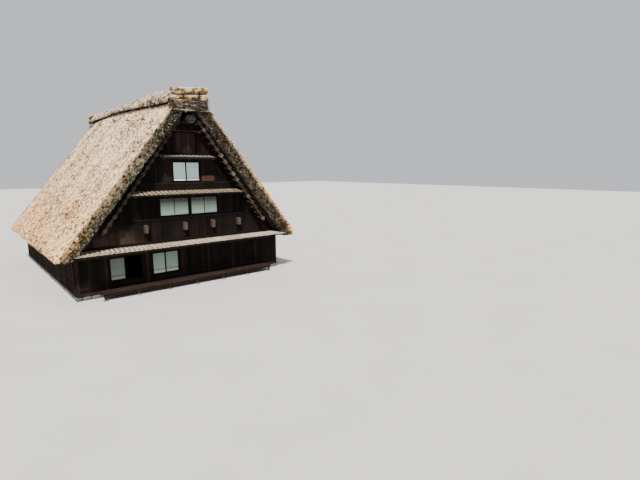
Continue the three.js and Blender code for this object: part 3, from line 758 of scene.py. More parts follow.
def verge_tips(batch, side, count):
    """Clean tips of straw along the verges' edges, which stand out past the weathered face."""
    draw = batch.rng.uniform
    ends = batch.rng.choice([-1, 1], count)
    n = draw(-0.10, 0.0, count)
    top, foot = slope_reach(n)
    u = top + (foot - top) * draw(0.04, 0.98, count)
    base = on_slope(side, u, ends * (VERGE_Y - 0.05), n + verge_roll(side, 0.0, u))
    down, outward = slope_directions(side, ends * 0.8, 0.6)
    along = down * draw(0.3, 1.2, count)[:, None] + outward
    tint = draw(0.5, 1.0, count)
    batch.spikes(base, along, outward, draw(0.10, 0.19, count), draw(0.03, 0.06, count),
                 draw(0.0, 0.4, count), tint)


def eave_ends(batch, side, count):
    """Cut ends of straw that hang out of the eave's underside."""
    draw = batch.rng.uniform
    v = draw(-VERGE_Y + 0.03, VERGE_Y - 0.03, count)
    n = draw(-THATCH_THICK + 0.02, -0.03, count)
    base = on_slope(side, slope_reach(n)[1], v, n)
    base[:, 2] = EAVE_HEIGHT + 0.05
    drop = xyz(side * draw(0, 0.4, count), batch.rng.normal(0, 0.15, count), -1)
    batch.spikes(base, drop, (side, 0, 0.2), draw(0.07, 0.13, count), draw(0.03, 0.07, count), 0.9)


# Ridge

def cap_outline(y):
    """The ridge cap's outer line in x and z at a place along the ridge, from its left lip to its right."""
    foot, crown = np.interp(y, CAP_Y, CAP_FOOT), np.interp(y, CAP_Y, CAP_TOP)
    edge = outer_x(foot) + CAP_STAND
    lip = foot + CAP_LIP
    bends = np.array([(edge, lip), (edge + 0.15, lip + 0.2 * (crown - lip)), (edge - 0.07, crown - 0.22),
                      (0.53 * edge, crown - 0.095), (0.26 * edge, crown), (0, crown)])
    t = np.linspace(0, 1, 14)[:, None]
    lower = ((1 - t) ** 3) * bends[0] + 3 * t * (1 - t) ** 2 * bends[1] + 3 * t * t * (1 - t) * bends[2] \
        + t ** 3 * bends[3]
    t = np.linspace(0, 1, 7)[1:, None]
    upper = (1 - t) ** 2 * bends[3] + 2 * t * (1 - t) * bends[4] + t * t * bends[5]
    right = np.concatenate([lower, upper])
    return np.concatenate([right[:-1] * [-1, 1], right[::-1]])


def cap_lines(places):
    """Points on the cap's outlines at places along the ridge, the runs along them and the ways out."""
    outlines = np.array([cap_outline(y) for y in places])
    runs = np.gradient(outlines, axis=1)
    normals = unit(np.stack([-runs[..., 1], runs[..., 0]], axis=-1))
    flat = xyz(outlines[..., 0], np.asarray(places)[:, None], outlines[..., 1])
    return flat, xyz(runs[..., 0], 0, runs[..., 1]), xyz(normals[..., 0], 0, normals[..., 1])


def cap_lift(places):
    bulge = 0.06 * noise(places, 0.9, 21) + 0.075 * noise(places, 0.38, 22) + 0.045 * noise(places, 0.17, 23)
    return (bulge - 0.06)[..., None]


def ridge_cap(material):
    """A roll of coarse straw along the ridge. It runs on behind the layers at each end, and its lip hangs
    over a hollow painted near black as the shade under it, with the fringe along the lip darkened as painted
    shade."""
    batch = Batch(31)
    reach = GABLE_FACE + END_OVERHANG - END_FRONT + 0.03
    stations = np.linspace(-reach, reach, 200)
    flat, runs, outs = cap_lines(stations)
    count = flat.shape[1]
    rolls = flat + outs * cap_lift(flat)
    rolls[:, [0, -1], 2] += 0.035 * noise(xyz([0, 9], stations[:, None], 0), 0.25, 26)
    foot = np.interp(stations, CAP_Y, CAP_FOOT)
    x = np.stack(np.broadcast_arrays(outer_x(foot) + 0.08, outer_x(foot) + 0.02, outer_x(SLOPE_TOP)), axis=1)
    z = np.stack(np.broadcast_arrays(foot + 0.09, foot, SLOPE_TOP), axis=1)
    hollow = xyz(np.hstack([x, -x[:, ::-1]]), stations[:, None], np.hstack([z, z[:, ::-1]]))
    rings = np.concatenate([rolls, hollow], axis=1)[:, ::-1]
    tint = np.clip(0.5 + 0.6 * noise(rings, 0.24, 24), 0, 1).ravel()
    # The hollow's points get the full weather value: painted shade, near black
    batch.tube(rings, tint, np.tile(np.arange(count + 6) < 6, len(stations)).astype(float), (0, 1, 0))

    rng, draw = batch.rng, batch.rng.uniform
    lying, fringe = 13000, 900
    total = lying + fringe
    pick = np.concatenate([rng.integers(0, count, lying), rng.choice([0, -1], fringe) % count])
    at = rng.integers(1, len(stations) - 1, total)
    base = flat[at, pick] + xyz(0, draw(-0.04, 0.04, total), 0)
    out = outs[at, pick]
    base = base + out * (cap_lift(base) - 0.006)
    outward = np.where(pick < count / 2, -1, 1)
    low = np.arange(total) >= lying
    down = np.where(low[:, None], xyz(outward * math.cos(THETA), 0, -math.sin(THETA)),
                    unit(runs[at, pick] * outward[:, None]))
    along = down + xyz(0, rng.normal(0, 0.45, total), 0) + out * draw(0.02, 0.35, total)[:, None]
    length = np.where(low, draw(0.02, 0.08, total), draw(0.14, 0.36, total))
    length = np.minimum(length, 0.04 + 0.06 * np.minimum(pick, count - 1 - pick))
    # The fringe at the lip gets a high weather value: painted shade along the lip
    shade = np.where(low, draw(0.3, 1.0, total), draw(0, 0.35, total))
    batch.spikes(base, along, out, length, draw(0.03, 0.085, total), shade)
    batch.build("ridge_cap_straw", material, "ridge_thatch", "ridge_cap")


def needles(material, rope):
    """Poles through the roof under the ridge, and the ropes that go from them over the cap."""
    ties = Batch(35)
    flat, _, outs = cap_lines([y for y, _ in NEEDLES])
    angle = turns(9)
    for i, (y, height) in enumerate(NEEDLES):
        batch = Batch(36 + i)
        reach = outer_x(height) + NEEDLE_REACH
        stations = np.linspace(-reach, reach, 26)[:, None]
        radius = NEEDLE_RADIUS * (1 - 0.1 * np.abs(stations) / reach)
        rings = xyz(stations, y + radius * np.cos(angle), height + radius * np.sin(angle))
        rings += (noise(rings * [0.3, 1, 1], 0.05, 40 + i) * 0.004)[..., None]
        batch.tube(rings, 0.75, 0.8, (1, 0, 0))
        batch.build(f"ridge_needle_{i + 1}_pole", material, "poles", f"ridge_needle_{i + 1}")
        hold = outer_x(height) + 0.13
        start = [(-hold, y, height + 0.05), (-hold - 0.01, y, height + 0.14)]
        end = [(hold + 0.01, y, height + 0.14), (hold, y, height + 0.05)]
        path = np.concatenate([start, flat[i] + outs[i] * 0.02, end])
        for shift in (-0.025, 0.025):
            ties.rope(path + [0, shift, 0], 0.014, tint=0.3)
        for side, turn in product((-1, 1), range(4)):
            ties.loop((side * (hold - 0.05 + 0.035 * turn), y, height), (1, 0, 0), 0.062, 0.016, 0.5)
    ties.build("ridge_ropes", rope, "poles")


def ridge_end(side, straw, bark, rope):
    """Layers at each end of the ridge, thicker to the right: two of bound straw over sheets of bark. The
    ridge cap's straw goes on behind the bound straw."""
    golden, dark, ties = Batch(51, side), Batch(52, side), Batch(53, side)
    seed, rng, draw = golden.seed, golden.rng, golden.rng.uniform
    right = 1 if side == "front" else -1
    front, back = -END_OVERHANG, -END_OVERHANG + END_FRONT
    forward = (0, -1.0, 0)

    def height(levels, x, share=0.0):
        """The height in a layer over a place x, from its bottom, at 0, to its top, at 1."""
        place = (1 + right * x / END_HALF_WIDTH) / 2
        low, high = (pair[0] + (pair[1] - pair[0]) * place for pair in levels)
        return low + (high - low) * share

    def anywhere(inset, count=None):
        """Random places across the layers, that far from their ends."""
        return draw(-END_HALF_WIDTH + inset, END_HALF_WIDTH - inset, count)

    def core(batch, levels, y0, y1, inset, tint, weather):
        """A plain filling between or behind the layers, given a dark tint as painted shade in the gaps."""
        x = np.linspace(-END_HALF_WIDTH + inset, END_HALF_WIDTH - inset, 12)
        corners = ((y0, 0), (y1, 0), (y1, 1), (y0, 1))
        batch.tube(np.stack([xyz(x, y, height(levels, x, share)) for y, share in corners], axis=1),
                   tint, weather, (1, 0, 0))

    # Bound straw
    columns = 7
    for levels, face, darkest, palest, waist, rows in ((END_TOP, front, 0.45, 1.0, 0.05, 8),
                                                       (END_SECOND, front + 0.05, 0.0, 0.65, 0.30, 9)):
        middle_y, half_y = (face + back) / 2, (back - face) / 2
        for row, column in product(range(rows), range(columns)):
            fy = (column + 0.5 + draw(-0.2, 0.2)) / columns * 2 - 1
            fz = (row + 0.5 + draw(-0.2, 0.2)) / rows * 2 - 1
            round_off = math.sqrt(max(0.2, 1 - 0.5 * fy * fy))
            reach = END_HALF_WIDTH - 0.01 + draw(-0.06, 0.04, 2)
            x = np.linspace(-reach[0], reach[1], 27)
            narrow = 1 - waist * sum(np.exp(-(((x - right * b) / 0.10) ** 2)) for b in END_BINDINGS)
            sag = 0.018 * np.sin(x * 3.1 + draw(0, 6))
            beside = xyz(x, 5.0 * levels[0][0], 0)
            ragged = noise(beside, 0.22, seed + 5) + noise(beside, 0.5, seed + 6) - 0.3
            share = 0.5 + 0.46 * fz * round_off * narrow + 0.26 * np.clip(0.3 - fz, 0, 1) * ragged
            y = middle_y + fy * (half_y - 0.025) * (0.7 + 0.3 * narrow) + sag
            path = xyz(x, y, height(levels, x, share))
            # Rows near each layer's top are paler and rows near its bottom darker: painted light from above
            shade = draw(darkest, palest) + 0.8 * noise(path * [1, 0.4, 1], 0.2, seed + 3) + 0.3 * fz
            golden.rope(path, draw(0.017, 0.024), 5, np.repeat(np.clip(shade, 0, 1), 5), draw(0, 0.15))

    # Bindings round the lower of the two, which the loop did last
    a = np.append(turns(28), 0.0)
    for x in END_BINDINGS:
        at = right * x
        tall = (height(END_SECOND, at, 1) - height(END_SECOND, at)) / 2 * (1 - waist) + 0.012
        for turn in BINDING_TURNS:
            band = xyz(at + turn + 0.01 * np.sin(5 * a), middle_y + half_y * swell(np.cos(a), 0.55),
                       height(END_SECOND, at, 0.5) + tall * swell(np.sin(a), 0.55))
            ties.rope(band, 0.02, tint=draw(0, 0.3))

    # The gap between the two, painted dark as shade, with straw that hangs into it
    core(golden, END_GAP, front + 0.10, back - 0.03, 0.05, 0.08, 0.6)
    hanging = 700
    x = anywhere(0.04, hanging)
    thick = noise(xyz(x, 0, 0), 0.25, seed + 8)
    upper = draw(0, 1, hanging) < 0.6
    level = np.where(upper, height(END_TOP, x, 0.12), height(END_SECOND, x, 0.12))
    along = xyz(rng.normal(0, 1.2, hanging), -0.15, -0.5)
    golden.spikes(xyz(x, front + 0.03 + 0.04 * ~upper, level), along, forward,
                  draw(0.05, 0.16, hanging) * (1 + 0.6 * thick), draw(0.02, 0.05, hanging), 0.2,
                  np.clip(draw(0, 0.5, hanging) + 0.5 * thick, 0, 0.9))

    # Bark in sheets, with flakes, ties and splinters
    back = front + END_LENGTH
    # A near-black core behind the sheets: painted shade in the gaps between them
    core(dark, END_BARK, front + 0.15, back - 0.03, 0.06, 0.0, 1.0)
    sheets = 9
    for sheet in range(sheets):
        inset = 0.02 + 0.10 * draw()
        reach = END_HALF_WIDTH - draw(0.0, 0.07)
        x = np.linspace(-reach, reach, 44)
        at = xyz(x, 0.3 * sheet, 0)
        out = front + inset + 0.06 * noise(at, 0.35, seed + sheet) + 0.03 * noise(at, 0.12, seed + 7)
        out = np.maximum(out, front)
        lift = 0.028 * noise(at, 0.4, seed + 9)
        z0, z1 = (height(END_BARK, x, (sheet + share) / sheets) + lift for share in (0.05, 0.85))
        rings = np.stack([xyz(x, out, z0), xyz(x, back, z0), xyz(x, back, z1), xyz(x, out, z1),
                          xyz(x, out - 0.02, (z0 + z1) / 2)], axis=1)
        # The top sheet is black: painted shadow under the straw layer over it
        shade = 0.0 if sheet == sheets - 1 else draw(0.05, 0.9) if sheet else 0.8
        tint = np.clip(shade + 0.8 * noise(rings, 0.22, seed + 11), 0, 1).ravel()
        dark.tube(rings, tint, draw(0.0, 0.6) if sheet else 0.0, (1, 0, 0))
    for _ in range(30):
        x = anywhere(0.22)
        half, tall = draw(0.08, 0.22), draw(0.010, 0.022)
        z = height(END_BARK, x, draw(0.08, 0.92))
        dark.box((x - half, front + 0.004, z - tall), (x + half, front + 0.05, z + tall), draw(0.6, 1.0))
    for x, shift in product(END_BINDINGS, BINDING_TURNS):
        ends = [(at, front + 0.01, height(END_BARK, at, share))
                for at, share in zip(right * x + shift + draw(-0.012, 0.012, 2), (0.12, 0.98))]
        ties.rods(*ends, 0.016, tint=draw(0, 0.3, 1))
    count = 1100
    x = anywhere(0.1, count)
    base = xyz(x, front + 0.085, height(END_BARK, x, draw(0, 1, count)))
    along = xyz(rng.choice([-1, 1], count), draw(-0.25, -0.02, count), rng.normal(0, 0.12, count))
    dark.spikes(base, along, forward, draw(0.08, 0.3, count), draw(0.012, 0.035, count), draw(0, 0.7, count))
    golden.build("ridge_end_straw", straw, "ridge_straw", "ridge_end")
    dark.build("ridge_end_bark", bark, "ridge_thatch")
    ties.build("ridge_end_ropes", rope, "ridge_straw")


# Gables, drawn in a frame whose y is 0 on the wall's outer face and grows into the house

def cladding(batch, stops, width, bottom, top, holes, weather_and_light_at):
    """Upright boards between the stops, up to a height or the roof. Each hole is (left, right, low, high)
    with its sides on stops, and weather_and_light_at gives a board's weather value at a place x, painted
    sunlight on the second storey's lower boards."""
    draw = batch.rng.uniform
    for left, right in pairwise(stops):
        parts = max(1, round((right - left) / width))
        edges = np.linspace(left, right, parts + 1)
        edges[1:-1] += draw(-0.03, 0.03, parts - 1)
        for x0, x1 in pairwise(edges):
            x0, x1 = x0 + BOARD_GAP, x1 - BOARD_GAP
            middle = (x0 + x1) / 2
            spans = [(bottom, None)]
            for hole_left, hole_right, low, high in holes:
                if hole_left < middle < hole_right:
                    spans = [(bottom, low), (high, None)]
            tint = draw()
            for low, high in spans:
                tops = [min(top, roof_z(x) - ROOF_GAP) if high is None else high for x in (x0, x1)]
                if min(tops) - low > 0.03:
                    low += draw(0, 0.008)
                    out = 0.021 + draw(0, 0.008)
                    x, z = np.array([x0, x1, x1, x0]), np.array([low, low, tops[1], tops[0]])
                    batch.tube([xyz(x, -0.001, z), xyz(x, -out, z)], tint, weather_and_light_at(middle), (0, 0, 1))


def around(left, right, low, high):
    """The hole for a window's opening and frame."""
    return left - FRAME_WIDTH, right + FRAME_WIDTH, low - FRAME_WIDTH, high + FRAME_WIDTH


def gable_boards(side, material, rail_material):
    """Boards, posts and rails of a gable, one piece for each storey."""
    sign = 1 if side == "front" else -1

    # Ground storey, between its posts
    batch = Batch(71, side)
    holes = [around(left, left + width, *LOW_WINDOW) for left, width in ((LOW_LEFT_START, PAIR_WIDTH),
                                                                         (LOW_RIGHT_START, LOW_RIGHT_WIDTH))]
    for left, right in pairwise(FRONT_POSTS):
        left, right = left + POST_WIDTH / 2 + 0.003, right - POST_WIDTH / 2 - 0.003
        inside = [edge for hole in holes for edge in hole[:2] if left < edge < right]
        cladding(batch, sorted([left, right, *inside]), 0.24, BOARD_FOOT, 2.38, holes, lambda x: 0.06)
    half = POST_WIDTH / 2 + 0.004
    for x in FRONT_POSTS:
        batch.box((x - half, -POST_OUTSTAND - 0.016, POST_FOOT), (x + half, 0.0, 2.42), weather=0.35)
    half = WALL_HALF_WIDTH - 0.003
    batch.box((-half, -POST_OUTSTAND - 0.014, POST_FOOT), (half, 0.0, BOARD_FOOT - 0.01), weather=0.5)
    half = WALL_HALF_WIDTH - 0.1
    for z, tall in ((0.62, 0.09), (2.26, 0.12)):
        batch.box((-half, -0.036, z), (half, 0.0, z + tall), weather=0.25)
    batch.build("wall_boards", material, "dark_boards")

    # Second storey, with painted sunlight, reddish and strongest at the left, on the lower boards between
    # the beam ends under the windows
    batch = Batch(72, side)
    outer = PAIR_WIDTH + PAIR_POST / 2
    hole = around(WINDOW_2_MIDDLE - outer, WINDOW_2_MIDDLE + outer, *WINDOW_2)
    band_top = WINDOW_2[0] - FRAME_WIDTH - 0.14
    beams = [(sign * x - BEAM_WIDTH / 2, sign * x + BEAM_WIDTH / 2) for x in BEAM_PLACES]
    stops = sorted([-6.5, 6.5] + [x for beam in beams for x in beam])

    # Painted sunlight: the boards' feet take the reddish worn colour, most at the left
    def worn_and_sunlit(x):
        share = min(max((-2.6 - sign * x) / 1.5, 0.12), 1.0)
        return np.tile([1.8, 1.8, 0, 0], 2) * batch.rng.uniform(0.3, 1.0) * share

    cladding(batch, stops, 0.27, STOREY_2 + 0.012, band_top - 0.01,
             [(*beam, BEAM_BOTTOM, BEAM_TOP) for beam in beams], worn_and_sunlit)
    cladding(batch, [-5.3, *hole[:2], 5.3], 0.26, band_top + 0.14, STOREY_3 - 0.01, [hole], lambda x: 0.0)
    batch.box((-5.48, -0.055, band_top), (5.48, 0.0, band_top + 0.13), weather=0.12)
    batch.build("boards_storey_2", material, "dark_boards")

    # Third storey, with level boards under the window
    batch = Batch(73, side)
    hole = around(-PAIR_WIDTH / 2, PAIR_WIDTH / 2, *WINDOW_3)
    sill = WINDOW_3[0] - FRAME_WIDTH - 0.10
    tall = (sill - STOREY_3 - 0.02) / 2
    for row in range(2):
        z0 = STOREY_3 + 0.02 + row * tall
        z1 = z0 + tall - 0.006
        reach = inner_x(z1) - 0.04
        batch.box((-reach, -0.022 - 0.004 * row, z0), (reach, -0.001, z1), weather=0.15)
    cladding(batch, [-3.85, *hole[:2], 3.85], 0.25, sill + 0.10, STOREY_4 - 0.01, [hole],
             lambda x: 0.2 if abs(x) < 1.9 else 0.0)
    reach = inner_x(sill) - 0.08
    batch.box((-reach, -0.05, sill), (reach, 0.0, sill + 0.09), weather=0.3)
    post_x = 1.62 * 1.22
    for x in (-post_x, post_x):
        batch.box((x - 0.05, -0.045, sill + 0.09), (x + 0.05, 0.0, STOREY_4 - 0.03), weather=0.15)
    batch.build("boards_storey_3", material, "dark_boards")

    # Fourth storey, round the shutters and up to the apex
    batch = Batch(74, side)
    hole = around(-SHUTTER_HALF, SHUTTER_HALF, *SHUTTER_4)
    stops = [-2.3, hole[0], -0.35, 0.35, hole[1], 2.3]
    cladding(batch, stops, 0.22, STOREY_4 + 0.012, APEX_INNER - 0.01, [hole],
             lambda x: 0.15 if x > 0.7 else 0.05)
    batch.build("boards_storey_4", material, "dark_boards")
    rail = Batch(75, side)
    rail.box((-1.05, -0.05, SHUTTER_4[1] + 0.03), (1.05, -0.012, SHUTTER_4[1] + 0.10), 0.0, 0.2)
    rail.build("rail_storey_4", rail_material, "pent_boards")


def window_frame(batch, left, right, low, high, mullions=(), jamb=FRAME_SHOWN):
    """Sill, head and jambs round an opening, and the posts between pairs."""
    f = FRAME_SHOWN
    dark = batch.rng.uniform(0, 0.7, 4)
    wide = (left - jamb - 0.03, right + jamb + 0.03)
    for shade, (x0, x1), out, z0, z1 in ((dark[0], (left - jamb, left), 0.028, low - f, high + f),
                                         (dark[1], (right, right + jamb), 0.028, low - f, high + f),
                                         (dark[2], wide, 0.062, low - f, low - 0.012),
                                         (dark[3], wide, 0.05, high + 0.012, high + f),
                                         *((0.3, mullion, 0.028, low, high) for mullion in mullions)):
        batch.box((x0, -out, z0), (x1, FRAME_BACK, z1), shade, 0.1)


def sliding_panel(paper, wood, left, right, low, high, depth, foot, dims, stile):
    """A paper panel with its stiles, rails and thin upright bars. foot is the height of its board at the
    bottom, and dims are how much painted shade darkens the paper and its bars at its bottom and top."""
    rail, bar = 0.03, 0.0045
    inner, outer, head = left + stile, right - stile, high - 0.04
    for x0, x1, z0, z1 in ((left, inner, low, high), (outer, right, low, high),
                           (left, right, head, high), (left, right, low, low + rail)):
        wood.box((x0, depth - 0.016, z0), (x1, depth + 0.016, z1), 0.3)
    base = low + foot
    # The dims give the paper's weather value and darken the bars: painted shade
    paper.box((inner, depth + 0.001, base + rail), (outer, depth + 0.006, head),
              paper.rng.uniform(0.35, 0.6), np.repeat(dims, 4))
    if foot:
        paper.box((inner, depth - 0.006, low + rail), (outer, depth + 0.006, base), 1.0, dims[0])
        wood.box((inner, depth - 0.010, base), (outer, depth + 0.010, base + rail), 0.5)
    for x in np.linspace(inner, outer, 10)[1:-1]:
        wood.box((x - bar, depth - 0.009, base + rail), (x + bar, depth + 0.001, head),
                 1.0 - 0.1 * np.repeat(dims, 4))
    for level in (0.33, 0.66):
        z = base + (high - base) * level
        wood.box((inner, depth - 0.004, z - 0.003), (outer, depth + 0.001, z + 0.003), 1.0)


def windows(side, paper_finish, wood_finish):
    """Sliding pairs in their frames. Each job is a name, the heights, the opening's sides, the pairs as
    (left, width, half open), the posts between them, the foot board's height, and the dims, which paint
    shade on the paper at its bottom and top."""
    half, inner, middle = PAIR_WIDTH / 2, PAIR_POST / 2, WINDOW_2_MIDDLE
    widened = 0.055
    width = PAIR_WIDTH + widened
    outer = inner + width
    for i, (name, (low, high), left, right, pairs, mullions, foot, dims) in enumerate((
            ("low_window_left", LOW_WINDOW, LOW_LEFT_START, LOW_LEFT_START + PAIR_WIDTH,
             [(LOW_LEFT_START, PAIR_WIDTH, True)], (), 0.22, (0.78, 0.88)),
            ("low_window_right", LOW_WINDOW, LOW_RIGHT_START, LOW_RIGHT_START + LOW_RIGHT_WIDTH,
             [(LOW_RIGHT_START, LOW_RIGHT_WIDTH, False)], (), 0.22, (0.52, 0.76)),
            ("windows_storey_2", WINDOW_2, middle - outer, middle + outer,
             [(middle - outer, width, False), (middle + inner, width, False)],
             [(middle - inner, middle + inner)], 0.0, (0.14, 1.15)),
            ("window_storey_3", WINDOW_3, -half, half, [(-half, PAIR_WIDTH, False)], (), 0.13,
             (0.0, 0.05)))):
        paper, wood = Batch(91 + 2 * i, side), Batch(92 + 2 * i, side)
        window_frame(wood, left, right, low, high, mullions, FRAME_SHOWN - (widened if mullions else 0))
        for start, width, half_open in pairs:
            meet = start + width / 2
            second = (start + 0.06, meet + 0.02) if half_open else (meet - 0.05, start + width)
            for (x0, x1), depth in (((start, meet), 0.045), (second, 0.080)):
                sliding_panel(paper, wood, x0, x1, low, high, depth, foot, dims, 0.04 if mullions else 0.075)
        paper.build(f"{name}_paper", paper_finish, "paper", name)
        wood.build(f"{name}_frames", wood_finish, "dark_boards")


def shutters(side, material, frame_material):
    low, high = SHUTTER_4
    boards, frames = Batch(111, side, 4), Batch(112, side, 4)
    window_frame(frames, -SHUTTER_HALF, SHUTTER_HALF, low, high)
    for left, right, depth in ((-SHUTTER_HALF, 0.02, 0.045), (-0.02, SHUTTER_HALF, 0.08)):
        for x0, x1 in pairwise(np.linspace(left, right, 6)):
            front = depth - 0.012 - boards.rng.uniform(0, 0.004)
            boards.box((x0 + 0.002, front, low), (x1 - 0.002, depth + 0.012, high), weather=0.4)
        for z in (low + 0.08, (low + high) / 2, high - 0.14):
            boards.box((left, depth - 0.028, z), (right, depth - 0.008, z + 0.06), weather=0.6)
    boards.build("shutter_boards", material, "brown_boards", "shutters_storey_4")
    frames.build("shutter_frame", frame_material, "dark_boards")


def pent_roofs(side, finishes, beam_material, edge_material):
    """Planks on arms and an edge beam, with narrow cover strips over their joints, and near-black boards
    along the front edge and the wall that are painted shade."""
    for number, depth, wall_z, front_z, wall_half, knee_half, front_half, arms in PENTS:
        batch = Batch(121 + number, side)
        draw = batch.rng.uniform
        lowest = number == 1
        board_z = wall_z - 0.09 if lowest else wall_z
        fall = (board_z - front_z) / depth
        knee = min(VERGE_OVERHANG + 0.015, depth * 0.7)

        def half_at(out):
            return np.interp(out, (0, knee, depth), (wall_half, knee_half, front_half))

        def strip(a, b, under, thick, reach, lift, tint, weather):
            """A board that runs down the roof between two shares of its half width."""
            out = np.array([0.0, knee, reach])
            x0, x1 = a * half_at(out), b * half_at(out)
            z = board_z - fall * out - PENT_THICK + under + lift * out
            batch.tube(np.stack([xyz(x1, -out, z), xyz(x1, -out, z + thick), xyz(x0, -out, z + thick),
                                 xyz(x0, -out, z)], axis=1), tint, weather, (0, 1, 0))

        planks = max(6, round(2 * front_half / 0.27))
        edges = np.linspace(-1, 1, planks + 1)
        edges[1:-1] += draw(-0.1, 0.1, planks - 1) / planks
        gap = BOARD_GAP / front_half
        for a, b in pairwise(edges):
            strip(a + gap, b - gap, 0.006, 0.026, depth - draw(0.017, 0.035), draw(-0.006, 0.004),
                  draw(0.1, 0.55) + 0.15 * (a + b) / 2 + lowest * (0.15 + 0.1 * (a + b)), draw(0.0, 0.35))
        width = 0.04 / front_half
        for edge in edges[1:-1]:
            strip(edge - width, edge + width, 0.033, 0.024, depth - draw(0.017, 0.045), draw(-0.004, 0.004),
                  draw(0.6, 0.95) - 0.1 * lowest, draw(0.3, 0.9))
        for out in (0.12 * depth, 0.74 * depth):
            width = half_at(out) - 0.03
            z = board_z - fall * out
            batch.box((-width, -out - 0.025, z - 0.014), (width, -out + 0.025, z - 0.001), 0.3, 0.2)
        batch.build(f"pent_roof_{number}_boards", finishes[number - 1], "pent_boards", f"pent_roof_{number}")

        # Near-black boards along the front edge and against the wall: painted shade
        shade_boards = Batch(145 + number, side)
        shade_boards.box((-front_half, -depth, front_z - 0.074), (front_half, -depth + 0.014, front_z - 0.010),
                   weather=0.1)
        above = 0.025 if number == 3 else 0.05
        width = wall_half - 0.06
        shade_boards.box((-width, -0.09, board_z - 0.010), (width, 0.0, wall_z + above), weather=0.05)
        shade_boards.build(f"pent_roof_{number}_edges", edge_material, "dark_boards")

        timber = Batch(141 + number, side)
        reach = wall_half - 0.18
        tip = 0.86 * depth
        tall = 0.11
        y = np.array([0, -tip, -tip, 0])
        z = board_z - 0.066 + fall * y - np.array([tall, tall, 0, 0])
        for x in np.linspace(-reach, reach, arms):
            timber.tube([xyz(x + 0.045, y, z), xyz(x - 0.045, y, z)], None, 0.3, (0, 1, 0))
        beam_y = 0.06 - tip
        beam_top = board_z + fall * beam_y - 0.055
        reach += 0.09
        timber.box((-reach, beam_y - 0.045, beam_top - 0.09), (reach, beam_y + 0.045, beam_top), weather=0.3)
        timber.build(f"pent_roof_{number}_arms", beam_material, "beams")


def verge_poles(side, left_wood, right_wood, right_rope, left_rope):
    """The pole under each verge, lashed to the ends of the roof's cross poles. The house's left pole, its
    stubs and its ropes are darker, as painted shade.
    """
    for name, sign in (("left", -1), ("right", 1)):
        painted_shade_side = (sign < 0) == (side == "front")
        material, rope = (left_wood, left_rope) if painted_shade_side else (right_wood, right_rope)
        # The house's left pole takes darker materials and darker knots: painted shade
        pale, aged, pole_tint = (0.5, 0.5, 0.375) if painted_shade_side else (0.75, 0.2, 0.25)
        batch, ties = Batch(161 + sign, side), Batch(165 + sign, side)
        draw = batch.rng.uniform
        low, high = (np.array([sign * x, -POLE_PLANE, z]) for x, z in (POLE_LOW, POLE_HIGH))
        along = unit(high - low)
        ring = circle(along[None], 12)[0]
        t = np.linspace(0, 1, 90)[:, None]
        centres = (low + (high - low) * t)[:, None]
        radius = POLE_RADIUS * (1.06 - 0.22 * t) * (1 + 0.10 * noise(centres + ring * 0.12, 0.28, 180))
        batch.tube(centres + ring * radius[..., None], pole_tint, 0.2, along)
        for i in range(KNOTS):
            centre = low + (high - low) * (i + 0.5) / KNOTS
            reach = STUB_REACH - draw(0.0, 0.03)
            wobble = draw(-0.015, 0.015, 2)
            start = (centre[0] + wobble[0], -0.002, centre[2] + wobble[1])
            end = (centre[0], -reach, centre[2] + 0.01)
            batch.rods(start, end, draw(0.05, 0.062), draw(0.046, 0.058), 10,
                       draw(0.3, 1.0, 1) * pale, draw(0.3, 1.0) * aged)
            shade = batch.rng.choice([0.05, 0.15, 0.3, 0.5] if painted_shade_side else [0.25, 0.55, 0.8, 0.95])
            for lean, turn in product((-1, 1), (-0.07, -0.035, 0.0, 0.035, 0.07)):
                axis = along + [0, lean * 0.55, 0]
                radius = 0.122 - 0.3 * abs(turn)
                ties.loop(centre + along * turn, axis, radius, 0.022, shade * draw(0.3, 1.0))
            for out, radius in ((0.055, 0.080), (0.09, 0.074)):
                ties.loop(centre + [0, -out, 0], (0, 1, 0), radius, 0.021, shade * draw(0.8, 1.05))
        batch.build(f"verge_pole_{name}_log", material, "poles", f"verge_pole_{name}")
        ties.build(f"verge_pole_{name}_ropes", rope, "poles")


def verge_rafters(side, material):
    """Long poles up the underside of each verge, over thin rods that lie along the ridge's direction."""
    batch = Batch(185, side, 1)
    for sign in (-1, 1):
        across = on_slope(sign, np.arange(0.75, 11.9, 0.31), 0.0, -THATCH_THICK - 0.016)
        across = across[across[:, 2] > STOREY_2 + 0.12]
        starts, ends = across + [0, -0.012, 0], across + [0, -VERGE_OVERHANG + 0.05, 0]
        batch.rods(starts, ends, batch.rng.uniform(0.012, 0.018, len(across)), sides=7, weather=0.3)
        for out in (0.14, 0.37):
            top, foot = on_slope(sign, np.array([1.15, 11.7]), -out, -THATCH_THICK - 0.074)
            path = top + (foot - top) * np.linspace(0, 1, 30)[:, None]
            path += noise(path * [1, 5, 1], 2.5, 187)[:, None] * 0.008
            batch.rope(path, 0.036, sides=8, weather=0.4)
    batch.build("verge_rafters", material, "poles")


